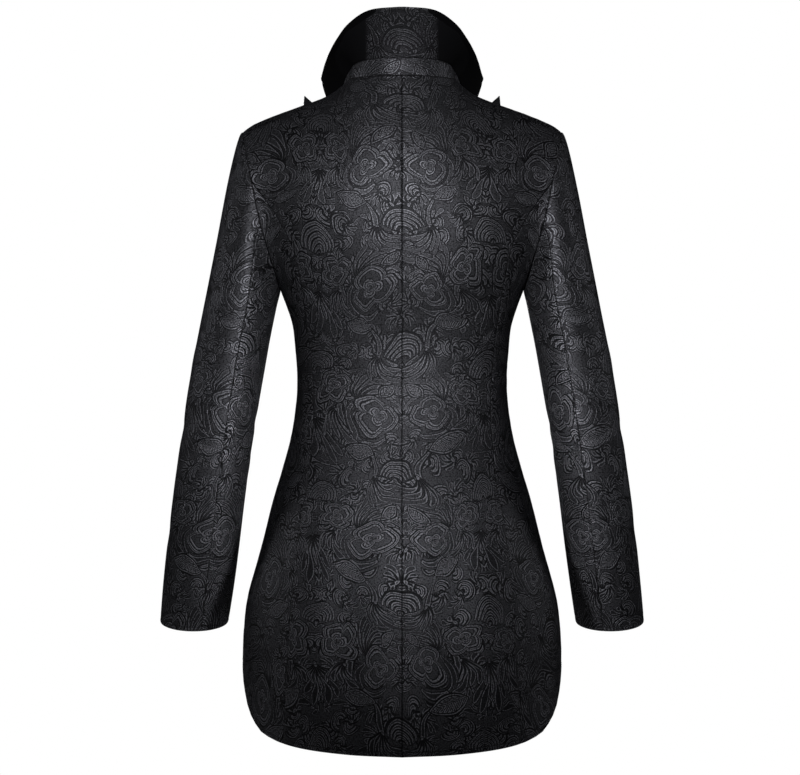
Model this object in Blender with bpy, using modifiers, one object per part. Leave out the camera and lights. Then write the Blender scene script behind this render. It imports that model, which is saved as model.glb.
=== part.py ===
"""Women's fitted tailcoat in brocade, filled out as if worn.

Frame: +Z up, the front faces -Y, the wearer's left is +X. The origin is inside the
neck, level with the place where the collar's wings cross the shoulder line. Sizes in
the tables are millimetres, Blender's are metres.

Every piece of cloth is a wall: a grid of points on a smooth surface, and the same grid
moved in by the cloth's thickness along the surface's own direction. Neighbours
read the same surface, so their cut edges stay an even seam gap apart.
"""
import math

import bmesh
import bpy
from mathutils import Vector

MM = 0.001

# ---- driving dimensions, millimetres ----
CLOTH = 1.8              # brocade with its interlining
SEAM_GAP = 0.3           # between two pieces at a seam
NECK_HALF = 65           # neckline, half width at the shoulder seams
NECK_BACK = 58           # neckline, depth at the centre back
NECK_SEAM_Z = 25         # neckline, height at the centre back
NECK_POINT_Z = 22        # neckline, height at the shoulder seam
SHOULDER_SEAM_Y = -3     # the shoulder seam lies a little forward
SHOULDER_HALF = 196      # armhole seam at the shoulder point
UNDERARM_Z = -239        # lowest point of the armhole
FRONT_LAP_TURN = 9       # degrees past the centre front that each front goes
FRONT_LAP_RISE = 3.2     # the right front lies this far out over the left
SIDE_TIP = 0.6           # width left at the top of the side back
LAPEL_CLEAR = 0.8        # a lapel rolls over its front and isn't pressed to it
BUTTON_RADIUS = 10
BUTTON_THICKNESS = 3.5
BUTTON_CLEAR = 0.5       # a flat button on the hollow of the waist
BUTTON_HEIGHTS = (-272, -316, -360)

# ---- mesh density ----
SKIRT_ROWS = 13          # from the hem to the underarm
ARMHOLE_ROWS = 13        # from the underarm to the shoulder seam
NECK_SHARE = 0.36        # share of a back's top edge that is neckline
NECK_COLUMNS = 5
YOKE_COLUMNS = 5         # from the neckline to the armhole
SIDE_COLUMNS = 5
FRONT_COLUMNS = 9
HIND_SEAM_ROW = 5        # armhole row where the hind-arm seam starts
FORE_SEAM_ROW = 5        # armhole row where the fore-arm seam starts
HIND_SEAM_ANGLE = 102    # the hind-arm seam down the arm, degrees from outward
FORE_SEAM_ANGLE = 132    # the fore-arm seam, degrees from outward
PRINCESS_ROW = 8         # armhole row where the side-back seam starts
CAP_SHARES = (0, 0.06, 0.15, 0.27, 0.42, 0.6, 0.8, 1)
ARM_TOP_Z = -262         # first level ring of the sleeve
CUFF_Z = -646
ARM_ROWS = 10
HEAD_REACH = 9           # how far the sleeve's head stands out before it turns down
COLLAR_STATIONS = 7
NECK_STATION = 4         # the section that stands at the shoulder seam
STAND_ROWS = 2
FALL_ROWS = 6
GORGE_ROW = 9            # armhole row at whose level the collar ends on the front
LAPEL_LEVEL = 0.09       # front-edge level where the lapel starts to turn back
LAPEL_TOP = 0.48         # front-edge level where it meets the collar
LAPEL_ROWS = 10
LAPEL_COLUMNS = (0, 0.15, 0.3, 0.45, 0.6, 0.75, 0.9, 1)


class Table:
    """Rows of sizes in rising order of the first column, read along a smooth curve."""

    def __init__(self, names, *rows):
        self.names = names
        self.rows = rows

    def slope(self, column, k):
        low = max(k - 1, 0)
        high = min(k + 1, len(self.rows) - 1)
        rise = self.rows[high][column] - self.rows[low][column]
        return rise / (self.rows[high][0] - self.rows[low][0])

    def __call__(self, name, at):
        column = self.names.index(name)
        at = min(max(at, self.rows[0][0]), self.rows[-1][0])
        k = max(i for i in range(len(self.rows) - 1) if self.rows[i][0] <= at)
        step = self.rows[k + 1][0] - self.rows[k][0]
        t = (at - self.rows[k][0]) / step
        low, high = self.rows[k][column], self.rows[k + 1][column]
        ease = t * t * (3 - 2 * t)
        bend_low = t * (1 - t) ** 2 * step * self.slope(column, k)
        bend_high = -t * t * (1 - t) * step * self.slope(column, k + 1)
        return low + (high - low) * ease + bend_low + bend_high


# Level rings of the body: half width, and depth behind and before the side line.
BODY = Table(
    ("z", "half_width", "back", "front"),
    (-830, 198, 172, 150),
    (-705, 196, 164, 144),
    (-660, 195, 160, 140),
    (-616, 190, 154, 134),
    (-557, 174, 143, 126),
    (-498, 159, 128, 117),
    (-454, 146, 112, 108),
    (-410, 135, 96, 100),
    (-358, 129, 84, 95),
    (-306, 131.5, 86, 104),
    (-277, 135.5, 91, 113),
    (-239, 149, 100, 121),
)
# Height of the hem round the body: 0 is the centre back, 90 the side.
HEM = Table(
    ("turn", "z"),
    (0, -806), (20, -803), (41, -794), (57, -779), (64, -766), (71, -750),
    (76, -735), (81, -721), (90, -699), (105, -660), (120, -612), (135, -556),
    (150, -496), (165, -438), (180, -398), (190, -388),
)
# Seam between back and side back, as it shows from behind.
PRINCESS = Table(
    ("z", "x"),
    (-830, 147), (-691, 140), (-642, 136.5), (-577, 131.5), (-518, 124), (-474, 115.5),
    (-422, 111), (-392, 109), (-349, 109.5), (-283, 117), (-213, 128), (-181, 136.5),
    (-146, 155), (-122, 172), (-105.7, 184.4),
)
# Shoulder line from the neck to the armhole.
SHOULDER = Table(
    ("x", "z"),
    (65, 22), (80, 9), (95, 0), (122, -10), (150, -20), (175, -30), (187, -36),
    (196, -43),
)
# How the back leaves its top edge: the loft's handle, from the centre to the armhole.
YOKE = Table(
    ("u", "x", "y", "z"),
    (0.00, 0, 24, -62), (0.12, 8, 31, -54), (0.24, 13, 41, -43), (0.36, 10, 63, -29),
    (0.50, 5, 66, -14), (0.75, 0, 66, -6), (1.00, 0, 66, -4),
)
# The armhole, back and front, from the underarm up to the shoulder point.
ARMHOLE = Table(
    ("level", "x", "back_y", "front_x", "front_y", "z"),
    (0.00, 149, 0, 149, 0, -239),
    (0.05, 154, 26, 147, -26, -223),
    (0.12, 163, 46, 147, -48, -193),
    (0.25, 175, 57, 152, -63, -150),
    (0.50, 187.5, 47, 172, -57, -90),
    (0.75, 194, 20, 190, -27, -55),
    (1.00, 196, -3, 196, -3, -43),
)
# Front edge: the lapel's roll line, then the neckline up to the shoulder seam.
ROLL = Table(
    ("level", "x", "y", "z"),
    (0.00, -23.3, -119.5, -239),
    (0.05, -4, -122, -214),
    (0.12, 13, -119, -180),
    (0.25, 37, -108, -126),
    (0.50, 65, -79, -50),
    (0.75, 71, -42, 0),
    (1.00, 65, -3, 22),
)
# Rings of the sleeve below the armhole. dip is how far its back hangs lower.
SLEEVE = Table(
    ("z", "inner_x", "outer_x", "centre_y", "half_depth", "dip"),
    (-646, 214.6, 299, -60, 40, 12),
    (-601, 207.3, 294.8, -44, 41, 11),
    (-542, 199.3, 288.4, -26, 44, 9),
    (-483, 191.9, 281, -11, 47, 7),
    (-424, 183.3, 272.5, -1, 50, 4),
    (-365, 174, 263.8, 4, 54, 1),
    (-306, 163.6, 253.4, 4, 58, 0),
    (-262, 154.8, 244.8, 2, 61, 0),
)
# Sections of the collar from the centre back to its point: neckline, top of the
# stand, belly of the fall and edge of the fall.
COLLAR = Table(
    ("station", "stand_x", "stand_y", "stand_z", "belly_x", "belly_y", "belly_z",
     "edge_x", "edge_y", "edge_z"),
    (0, 0, 55, 47, 0, 60, 78, 0, 73, 108),
    (1, 25, 50.5, 46.5, 30, 55, 76, 40, 67, 104),
    (2, 46, 37, 44, 55, 41, 68, 66, 50, 88),
    (3, 58, 19, 40, 69, 21, 58, 81, 27, 69),
    (4, 63, -3, 35, 77, -3, 47, 90, 2, 53),
    (5, 72, -32, 18, 85, -31, 31, 95, -21, 42),
    (6, 74, -58, -12, 90, -57, 9, 98.5, -44, 32),
    (7, 69, -82, -48, 93, -80, -12, 101, -66, 25),
)


# The lapel up its roll line: width as a share of the front, how much its outer edge
# climbs, and how far that edge stands off the chest.
LAPEL = Table(
    ("share", "reach", "lift", "stand_off"),
    (0.00, 0.03, 0.00, 0),
    (0.25, 0.16, 0.01, 0),
    (0.50, 0.29, 0.03, 1),
    (0.75, 0.40, 0.12, 4),
    (0.90, 0.42, 0.26, 9),
    (1.00, 0.38, 0.43, 15),
)


def smooth(t):
    t = min(max(t, 0), 1)
    return t * t * (3 - 2 * t)


def mix(a, b, t):
    return a + (b - a) * t


def bezier(a, b, c, d, t):
    s = 1 - t
    return a * s ** 3 + b * (3 * s * s * t) + c * (3 * s * t * t) + d * t ** 3


def solve(function, low, high):
    """Where a rising function crosses zero."""
    for _ in range(40):
        middle = (low + high) / 2
        if function(middle) < 0:
            low = middle
        else:
            high = middle
    return (low + high) / 2


# ---- the body's surface ----
def ring_point(turn, z):
    """A point of the body: turn is in degrees from the centre back by the left side."""
    angle = math.radians(turn)
    depth = BODY("back" if turn < 90 else "front", z)
    square = 1 + 0.035 * math.sin(2 * angle) ** 2
    return Vector((
        BODY("half_width", z) * math.sin(angle) * square,
        depth * math.cos(angle) * square,
        z,
    ))


def skirt_point(turn, level):
    """Level is -1 at the hem and 0 at the underarm."""
    hem = HEM("z", turn)
    return ring_point(turn, mix(hem, UNDERARM_Z, level + 1))


def neckline_point(share):
    angle = math.radians(90 * share)
    return Vector((
        NECK_HALF * math.sin(angle),
        mix(SHOULDER_SEAM_Y, NECK_BACK, math.cos(angle)),
        mix(NECK_SEAM_Z, NECK_POINT_Z, math.sin(angle) ** 2),
    ))


def shoulder_point(share):
    """Share is 0 at the neck and 1 at the shoulder point."""
    x = mix(NECK_HALF, SHOULDER_HALF, share)
    return Vector((x, SHOULDER_SEAM_Y, SHOULDER("z", x)))


def back_edge(level):
    return Vector((ARMHOLE("x", level), ARMHOLE("back_y", level), ARMHOLE("z", level)))


def front_edge(level):
    return Vector((ARMHOLE("front_x", level), ARMHOLE("front_y", level),
                   ARMHOLE("z", level)))


def roll_edge(level):
    return Vector((ROLL("x", level), ROLL("y", level), ROLL("z", level)))


def back_loft(u, level):
    foot = ring_point(90 * u, UNDERARM_Z)
    if u < NECK_SHARE:
        top = neckline_point(u / NECK_SHARE)
    else:
        top = shoulder_point((u - NECK_SHARE) / (1 - NECK_SHARE))
    height = top.z - UNDERARM_Z
    blade = mix(20, 34, smooth(u / 0.4)) * smooth((1 - u) / 0.5)
    lower = foot + Vector(((top.x - foot.x) * 0.35, blade, 0.62 * height))
    upper = top + Vector((YOKE("x", u), YOKE("y", u), YOKE("z", u)))
    return bezier(foot, lower, upper, top, level)


def back_point(u, level):
    """The back from the centre (u = 0) to the side seam and armhole (u = 1)."""
    if level <= 0:
        return skirt_point(90 * u, level)
    return back_loft(u, level) + (back_edge(level) - back_loft(1, level)) * u ** 3


def front_loft(u, level):
    foot = ring_point(mix(90, 180 + FRONT_LAP_TURN, u), UNDERARM_Z)
    top = shoulder_point(1 - u)
    height = top.z - UNDERARM_Z
    lean = smooth(u / 0.3)
    lower = foot + Vector(((top.x - foot.x) * 0.35, 0, mix(0.7, 0.55, lean) * height))
    upper = top + Vector((0, -66, mix(-4, -10, lean)))
    return bezier(foot, lower, upper, top, level)


def front_point(u, level, lap=0):
    """The front from the side seam and armhole (u = 0) to its front edge (u = 1)."""
    if level <= 0:
        point = skirt_point(mix(90, 180 + FRONT_LAP_TURN, u), level)
    else:
        point = front_loft(u, level)
        point += (front_edge(level) - front_loft(0, level)) * (1 - u) ** 3
        point += (roll_edge(level) - front_loft(1, level)) * u ** 3
    point.y -= lap * smooth((60 - point.x) / 40)
    return point


# ---- grids and walls ----
def direction(surface, u, v, flip=1):
    """The outward direction of a surface, from two short steps on it."""
    step = 0.004
    along = surface(u + step, v) - surface(u - step, v)
    up = surface(u, v + step) - surface(u, v - step)
    return up.cross(along).normalized() * flip


def width_step(surface, u, v, length):
    """The step in u that moves a point by this length."""
    run = (surface(u + 0.002, v) - surface(u - 0.002, v)).length
    return length * 0.004 / run


def wall(name, outer, normals, material, side=1, thickness=CLOTH):
    """A closed wall of cloth from rows of points and their outward directions."""
    flip = Vector((side, 1, 1))
    mesh = bpy.data.meshes.new(name)
    bm = bmesh.new()
    sheets = []
    for depth in (0, thickness):
        rows = []
        for points, ways in zip(outer, normals):
            row = [p - n * depth for p, n in zip(points, ways)]
            rows.append([bm.verts.new(p * flip * MM) for p in row])
        sheets.append(rows)
    top, bottom = sheets
    last_row, last_column = len(outer) - 1, len(outer[0]) - 1
    for r in range(last_row):
        for c in range(last_column):
            for rows in sheets:
                bm.faces.new((rows[r][c], rows[r][c + 1], rows[r + 1][c + 1], rows[r + 1][c]))
    for r in range(last_row):
        for c in (0, last_column):
            bm.faces.new((top[r][c], top[r + 1][c], bottom[r + 1][c], bottom[r][c]))
    for c in range(last_column):
        for r in (0, last_row):
            bm.faces.new((top[r][c], top[r][c + 1], bottom[r][c + 1], bottom[r][c]))
    bmesh.ops.recalc_face_normals(bm, faces=bm.faces)
    bm.to_mesh(mesh)
    bm.free()
    mesh.shade_smooth()
    mesh.set_sharp_from_angle(angle=math.radians(40))
    mesh.materials.append(material)
    piece = bpy.data.objects.new(name, mesh)
    COAT.objects.link(piece)
    return piece


def cloth_grid(surface, edges, levels, columns, flip=1):
    """Points and directions of a panel between its two edges at each level."""
    points, ways = [], []
    for level in levels:
        start, end = edges(level)
        row = [mix(start, end, c) for c in columns]
        points.append([surface(u, level) for u in row])
        ways.append([direction(surface, u, level, flip) for u in row])
    return points, ways


def join_shoulder(points, ways, first, side):
    """Sets a panel's last row half a seam gap behind or before the shoulder seam."""
    for point, way in zip(points[-1][first:], ways[-1][first:]):
        point.y = SHOULDER_SEAM_Y + side * SEAM_GAP / 2
        way.y = 0
        way.normalize()


def even(count):
    return [i / count for i in range(count + 1)]


def back_columns():
    neck = [NECK_SHARE * t for t in even(NECK_COLUMNS)]
    return neck + [mix(NECK_SHARE, 1, t) for t in even(YOKE_COLUMNS)[1:]]


def armhole_levels():
    """Levels that share out the lengths of the armhole and of the roll line evenly."""
    fine = even(240)
    lengths = [0]
    for low, high in zip(fine, fine[1:]):
        run = (back_edge(high) - back_edge(low)).length
        run += (roll_edge(high) - roll_edge(low)).length
        lengths.append(lengths[-1] + run)
    levels = []
    for i in range(ARMHOLE_ROWS + 1):
        wanted = lengths[-1] * i / ARMHOLE_ROWS
        levels.append(fine[min(range(len(fine)), key=lambda k: abs(lengths[k] - wanted))])
    return levels


def skirt_levels():
    """Levels from the hem to the underarm, closer together at the hem."""
    return [-1 + t ** 1.15 for t in even(SKIRT_ROWS)]


# ---- pieces ----
def princess(level, up_level):
    """Where the side-back seam runs at a level, as a share of the back."""
    tip = 1 - width_step(back_point, 0.99, max(level, 0.01), SIDE_TIP + SEAM_GAP)
    if level == up_level:
        return tip

    def beyond(u):
        point = back_point(u, level)
        return point.x - PRINCESS("x", point.z)
    return solve(beyond, 0.3, tip)


def add_back(side, name, levels, up_level, material):
    def edges(level):
        start = width_step(back_point, 0.01, level, SEAM_GAP / 2)
        if level > up_level:
            return start, 1
        seam = princess(level, up_level)
        return start, seam - width_step(back_point, seam, level, SEAM_GAP / 2)
    points, ways = cloth_grid(back_point, edges, levels, back_columns())
    join_shoulder(points, ways, NECK_COLUMNS, 1)
    wall(name, points, ways, material, side)


def add_side_back(side, name, levels, up_level, material):
    def edges(level):
        seam = princess(level, up_level)
        start = seam + width_step(back_point, seam, level, SEAM_GAP / 2)
        if level < 0:
            return start, 1 - width_step(back_point, 0.99, level, SEAM_GAP / 2)
        return start, 1
    rows = [level for level in levels if level <= up_level]
    points, ways = cloth_grid(back_point, edges, rows, even(SIDE_COLUMNS))
    wall(name, points, ways, material, side)


def add_front(side, name, levels, lap, material):
    def surface(u, level):
        return front_point(u, level, lap)
    def edges(level):
        if level < 0:
            return width_step(surface, 0.01, level, SEAM_GAP / 2), 1
        return 0, 1
    points, ways = cloth_grid(surface, edges, levels, even(FRONT_COLUMNS))
    join_shoulder(points, ways, 0, -1)
    wall(name, points, ways, material, side)


def armhole_ring(levels):
    """Points round the left armhole: up the back from the underarm, down the front."""
    return [back_edge(t) for t in levels] + [front_edge(t) for t in levels[-2::-1]]


def sleeve_angles():
    """Where each armhole point runs down the arm: 0 is outward, 90 behind, 180 inward."""
    anchors = Table(
        ("row", "angle"),
        (0, 180), (HIND_SEAM_ROW, HIND_SEAM_ANGLE), (ARMHOLE_ROWS, 0),
        (2 * ARMHOLE_ROWS - FORE_SEAM_ROW, -FORE_SEAM_ANGLE), (2 * ARMHOLE_ROWS, -180),
    )
    return [anchors("angle", row) for row in range(2 * ARMHOLE_ROWS + 1)]


def arm_point(angle, z):
    """A point of the sleeve below the armhole."""
    turn = math.radians(angle)
    inner, outer = SLEEVE("inner_x", z), SLEEVE("outer_x", z)
    return Vector((
        mix(inner, outer, (1 + math.cos(turn)) / 2),
        SLEEVE("centre_y", z) + SLEEVE("half_depth", z) * math.sin(turn),
        z - SLEEVE("dip", z) * math.sin(turn),
    ))


def cap_point(start, angle, share):
    """The sleeve's head, from the armhole (0) down to its first level ring (1)."""
    foot = arm_point(angle, ARM_TOP_Z)
    drop = start.z - foot.z
    outward = (1 + math.cos(math.radians(angle))) / 2
    leave = Vector((0.96, 0, -0.28)).lerp(Vector((0.25, 0, -0.97)), 1 - outward)
    upper = start + leave * mix(drop * 0.4, HEAD_REACH, smooth(outward * 1.6))
    down = (foot - arm_point(angle, ARM_TOP_Z - 20)).normalized()
    lower = foot + down * drop * mix(0.4, 0.62, outward)
    return bezier(start, upper, lower, foot, share)


def armhole_ways(levels):
    """The body's outward directions round the armhole, in the ring's order."""
    back = [direction(back_point, 1, t) for t in levels]
    front = [direction(front_point, 0, t) for t in reversed(levels)]
    back[-1].y = 0
    return back[:-1] + [back[-1].normalized()] + front[1:]


def lean_on(own, neighbour, share):
    """Turns a direction to its neighbour's where the two meet in a ridge."""
    if own.x < neighbour.x:
        return own
    return own.lerp(neighbour, share * smooth(own.dot(neighbour) * 3)).normalized()


def sleeve_grid(levels):
    """Rows of points down the whole sleeve, and their outward directions."""
    ring = [p + Vector((SEAM_GAP, 0, 0)) for p in armhole_ring(levels)]
    angles = sleeve_angles()
    rows = []
    for share in CAP_SHARES:
        rows.append([cap_point(p, a, share) for p, a in zip(ring, angles)])
    for i in range(1, ARM_ROWS + 1):
        z = mix(ARM_TOP_Z, CUFF_Z, i / ARM_ROWS)
        rows.append([arm_point(a, z) for a in angles])
    ways = []
    for r, row in enumerate(rows):
        above, below = rows[max(r - 1, 0)], rows[min(r + 1, len(rows) - 1)]
        line = []
        for c in range(len(row)):
            before = row[c - 1] if c else row[-2]
            after = row[c + 1] if c < len(row) - 1 else row[1]
            line.append((after - before).cross(below[c] - above[c]).normalized())
        ways.append(line)
    body = armhole_ways(levels)
    for r, share in ((0, 1), (1, 0.6)):
        ways[r] = [lean_on(own, way, share) for own, way in zip(ways[r], body)]
    return rows, ways


def part_of_sleeve(rows, ways, first, last):
    """Cuts the columns from first to last out of a sleeve, half a gap in at each seam."""
    count = 2 * ARMHOLE_ROWS
    points, turned = [], []
    for row, line in zip(rows, ways):
        picked = [row[c % count] for c in range(first, last + 1)]
        inside = (picked[1] - picked[0]).normalized()
        picked[0] = picked[0] + inside * SEAM_GAP / 2
        inside = (picked[-2] - picked[-1]).normalized()
        picked[-1] = picked[-1] + inside * SEAM_GAP / 2
        points.append(picked)
        turned.append([line[c % count] for c in range(first, last + 1)])
    return points, turned


def add_sleeve(side, word, levels, material):
    rows, ways = sleeve_grid(levels)
    fore = 2 * ARMHOLE_ROWS - FORE_SEAM_ROW
    points, turned = part_of_sleeve(rows, ways, HIND_SEAM_ROW, fore)
    wall("top_sleeve_" + word, points, turned, material, side)
    points, turned = part_of_sleeve(rows, ways, fore, 2 * ARMHOLE_ROWS + HIND_SEAM_ROW)
    wall("under_sleeve_" + word, points, turned, material, side)


def collar_sections(levels):
    """Neckline, stand top, belly and edge, from the centre back to the left point."""
    def spot(name, station):
        return Vector((COLLAR(name + "_x", station), COLLAR(name + "_y", station),
                       COLLAR(name + "_z", station)))
    necks, stations = [], []
    for share in even(NECK_COLUMNS):
        necks.append(neckline_point(share))
        stations.append(NECK_STATION * share)
    gorge = levels[GORGE_ROW]
    for level in levels[-2:GORGE_ROW - 1:-1]:
        necks.append(roll_edge(level))
        stations.append(mix(NECK_STATION, COLLAR_STATIONS, (1 - level) / (1 - gorge)))
    return [(neck, spot("stand", at), spot("belly", at), spot("edge", at))
            for neck, at in zip(necks, stations)]


def add_collar(levels, material):
    left = collar_sections(levels)
    right = [[Vector((-p.x, p.y, p.z)) for p in section] for section in left[:0:-1]]
    stand, fall = [], []
    for neck, seam, belly, edge in right + left:
        up = (seam - neck).normalized()
        stand.append([mix(neck + up * SEAM_GAP, seam - up * SEAM_GAP / 2, t)
                      for t in even(STAND_ROWS)])
        away = (belly - seam).normalized()
        first = seam + away * SEAM_GAP / 2
        fall.append([bezier(first, first.lerp(belly, 0.66), edge.lerp(belly, 0.66), edge, t)
                     for t in even(FALL_ROWS)])
    for name, strips in (("collar_stand", stand), ("collar_fall", fall)):
        rows = [list(row) for row in zip(*strips)]
        ways = grid_directions(rows)
        wall(name, rows, ways, material)


def grid_directions(rows):
    """Outward directions of a grid whose rows run round and whose columns run up."""
    ways = []
    for r, row in enumerate(rows):
        above, below = rows[min(r + 1, len(rows) - 1)], rows[max(r - 1, 0)]
        line = []
        for c in range(len(row)):
            along = row[min(c + 1, len(row) - 1)] - row[max(c - 1, 0)]
            line.append((above[c] - below[c]).cross(along).normalized())
        ways.append(line)
    return ways


def lapel_point(share, out, lap):
    """A point of the lapel: share goes up the roll line, out goes away from it."""
    level = mix(LAPEL_LEVEL, LAPEL_TOP, share)
    reach = LAPEL("reach", share) * out
    level += LAPEL("lift", share) * out
    u = 1 - reach

    def surface(a, b):
        return front_point(a, b, lap)
    way = direction(surface, u, level)
    off = LAPEL_CLEAR + CLOTH + LAPEL("stand_off", share) * out ** 2
    return surface(u, level) + way * off


def add_lapel(side, name, lap, material):
    rows = []
    for share in even(LAPEL_ROWS):
        rows.append([lapel_point(share, out, lap) for out in LAPEL_COLUMNS])
    ways = [[-way for way in line] for line in grid_directions(rows)]
    wall(name, rows, ways, material, side)


def add_button(name, z, material):
    centre_front = 90 / (90 + FRONT_LAP_TURN)
    level = (z - HEM("z", 180)) / (UNDERARM_Z - HEM("z", 180)) - 1
    way = direction(front_point, centre_front, level)
    seat = front_point(centre_front, level, FRONT_LAP_RISE)
    centre = seat + way * (BUTTON_CLEAR + BUTTON_THICKNESS / 2)
    bpy.ops.mesh.primitive_cylinder_add(
        vertices=20, radius=BUTTON_RADIUS * MM, depth=BUTTON_THICKNESS * MM,
        location=centre * MM, rotation=way.to_track_quat("Z", "Y").to_euler())
    button = bpy.context.object
    button.name = name
    for home in button.users_collection:
        home.objects.unlink(button)
    COAT.objects.link(button)
    rim = button.modifiers.new("round_edge", "BEVEL")
    rim.width = 0.8 * MM
    rim.segments = 1
    button.data.materials.append(material)


def cloth_material(name, color, roughness):
    material = bpy.data.materials.new(name)
    material.use_nodes = True
    shader = material.node_tree.nodes["Principled BSDF"]
    shader.inputs["Base Color"].default_value = (*color, 1)
    shader.inputs["Roughness"].default_value = roughness
    shader.inputs["Metallic"].default_value = 0
    return material


for old in list(bpy.data.objects):
    bpy.data.objects.remove(old)
COAT = bpy.data.collections.new("victorian_tailcoat")
bpy.context.scene.collection.children.link(COAT)

brocade = cloth_material("brocade", (0.018, 0.019, 0.022), 0.5)
plain_cloth = cloth_material("plain_cloth", (0.012, 0.012, 0.014), 0.6)
horn = cloth_material("button_horn", (0.01, 0.01, 0.01), 0.3)
arm_levels = armhole_levels()
all_levels = skirt_levels() + arm_levels[1:]
up_level = arm_levels[PRINCESS_ROW]
for side, word, lap in ((1, "left", 0), (-1, "right", FRONT_LAP_RISE)):
    add_back(side, "back_" + word, all_levels, up_level, brocade)
    add_side_back(side, "side_back_" + word, all_levels, up_level, brocade)
    add_front(side, "front_" + word, all_levels, lap, brocade)
    add_sleeve(side, word, arm_levels, brocade)
    add_lapel(side, "lapel_" + word, lap, plain_cloth)
add_collar(arm_levels, brocade)
for i, z in enumerate(BUTTON_HEIGHTS):
    add_button("button_" + str(i + 1), z, horn)
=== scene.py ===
# %% [markdown]
# A fitted brocade coat, seen from the back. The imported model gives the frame: solid
# walls of cloth, one for each cut panel. This scene dresses every wall in a finer one,
# with rolled seams, creases, stitches and a woven pattern, and lights it softly.

# %% Load the frame
import math

import bmesh
import bpy
from mathutils import Matrix, Vector, noise


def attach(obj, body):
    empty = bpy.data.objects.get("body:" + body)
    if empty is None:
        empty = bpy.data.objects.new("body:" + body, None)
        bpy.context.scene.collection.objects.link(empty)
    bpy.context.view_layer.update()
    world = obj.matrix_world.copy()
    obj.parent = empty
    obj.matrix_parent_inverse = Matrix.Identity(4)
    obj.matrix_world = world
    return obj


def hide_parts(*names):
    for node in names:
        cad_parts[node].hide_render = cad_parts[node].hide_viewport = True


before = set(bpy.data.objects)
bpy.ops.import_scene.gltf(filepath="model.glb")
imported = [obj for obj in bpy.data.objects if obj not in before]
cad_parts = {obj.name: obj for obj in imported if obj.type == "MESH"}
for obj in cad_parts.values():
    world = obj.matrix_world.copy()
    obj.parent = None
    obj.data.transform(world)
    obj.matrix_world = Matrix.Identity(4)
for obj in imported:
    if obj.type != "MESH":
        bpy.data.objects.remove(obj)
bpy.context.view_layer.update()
MM = 0.001
scene = bpy.context.scene

# %% [markdown]
# A coat is drafted from a few measures: widths and depths at some heights, the line of
# the shoulder, the armhole, the neck. Each table below holds such measures in
# millimetres, and is read along a smooth curve between its rows. They are the same
# measures that the solid model was cut from, so the fine cloth lies on the same form.

# %% Tables of sizes
class Table:
    """Rows of sizes in rising order of the first column, read along a smooth curve."""

    def __init__(self, names, *rows):
        self.names = names
        self.rows = rows

    def slope(self, column, k):
        low = max(k - 1, 0)
        high = min(k + 1, len(self.rows) - 1)
        rise = self.rows[high][column] - self.rows[low][column]
        return rise / (self.rows[high][0] - self.rows[low][0])

    def __call__(self, name, at):
        column = self.names.index(name)
        at = min(max(at, self.rows[0][0]), self.rows[-1][0])
        k = max(i for i in range(len(self.rows) - 1) if self.rows[i][0] <= at)
        step = self.rows[k + 1][0] - self.rows[k][0]
        t = (at - self.rows[k][0]) / step
        low, high = self.rows[k][column], self.rows[k + 1][column]
        ease = t * t * (3 - 2 * t)
        bend_low = t * (1 - t) ** 2 * step * self.slope(column, k)
        bend_high = -t * t * (1 - t) * step * self.slope(column, k + 1)
        return low + (high - low) * ease + bend_low + bend_high


CLOTH = 1.8                             # thickness of the cloth with its interlining
SEAM_GAP = 0.3
UNDERARM_Z = -239
NECK_HALF, NECK_BACK, NECK_SEAM_Z, NECK_POINT_Z = 65, 58, 25, 22
SHOULDER_SEAM_Y, SHOULDER_HALF = -3, 196
NECK_SHARE = 0.36                       # of the back's top edge is neckline
FRONT_LAP_TURN = 9                      # degrees that the fronts run past the centre

# Level rings of the body: half width, and depth behind and before the side line.
BODY = Table(
    ("z", "half_width", "back", "front"),
    (-830, 198, 172, 150),
    (-705, 196, 164, 144),
    (-660, 195, 160, 140),
    (-616, 190, 154, 134),
    (-557, 174, 143, 126),
    (-498, 159, 128, 117),
    (-454, 146, 112, 108),
    (-410, 135, 96, 100),
    (-358, 129, 84, 95),
    (-306, 131.5, 86, 104),
    (-277, 135.5, 91, 113),
    (-239, 149, 100, 121),
)
# Height of the hem round the body: 0 is the centre back, 90 the side.
HEM = Table(
    ("turn", "z"),
    (0, -806), (20, -803), (41, -794), (57, -779), (64, -766), (71, -750),
    (76, -735), (81, -721), (90, -699), (105, -660), (120, -612), (135, -556),
    (150, -496), (165, -438), (180, -398), (190, -388),
)
# Seam between back and side back, as it shows from behind.
PRINCESS = Table(
    ("z", "x"),
    (-830, 147), (-691, 140), (-642, 136.5), (-577, 131.5), (-518, 124), (-474, 115.5),
    (-422, 111), (-392, 109), (-349, 109.5), (-283, 117), (-213, 128), (-181, 136.5),
    (-146, 155), (-122, 172), (-105.7, 184.4),
)
# Shoulder line from the neck to the armhole.
SHOULDER = Table(
    ("x", "z"),
    (65, 22), (80, 9), (95, 0), (122, -10), (150, -20), (175, -30), (187, -36),
    (196, -43),
)
# How the back leaves its top edge: the loft's handle, from the centre to the armhole.
YOKE = Table(
    ("u", "x", "y", "z"),
    (0.00, 0, 24, -62), (0.12, 8, 31, -54), (0.24, 13, 41, -43), (0.36, 10, 63, -29),
    (0.50, 5, 66, -14), (0.75, 0, 66, -6), (1.00, 0, 66, -4),
)
# The armhole, back and front, from the underarm up to the shoulder point.
ARMHOLE = Table(
    ("level", "x", "back_y", "front_x", "front_y", "z"),
    (0.00, 149, 0, 149, 0, -239),
    (0.05, 154, 26, 147, -26, -223),
    (0.12, 163, 46, 147, -48, -193),
    (0.25, 175, 57, 152, -63, -150),
    (0.50, 187.5, 47, 172, -57, -90),
    (0.75, 194, 20, 190, -27, -55),
    (1.00, 196, -3, 196, -3, -43),
)
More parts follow.
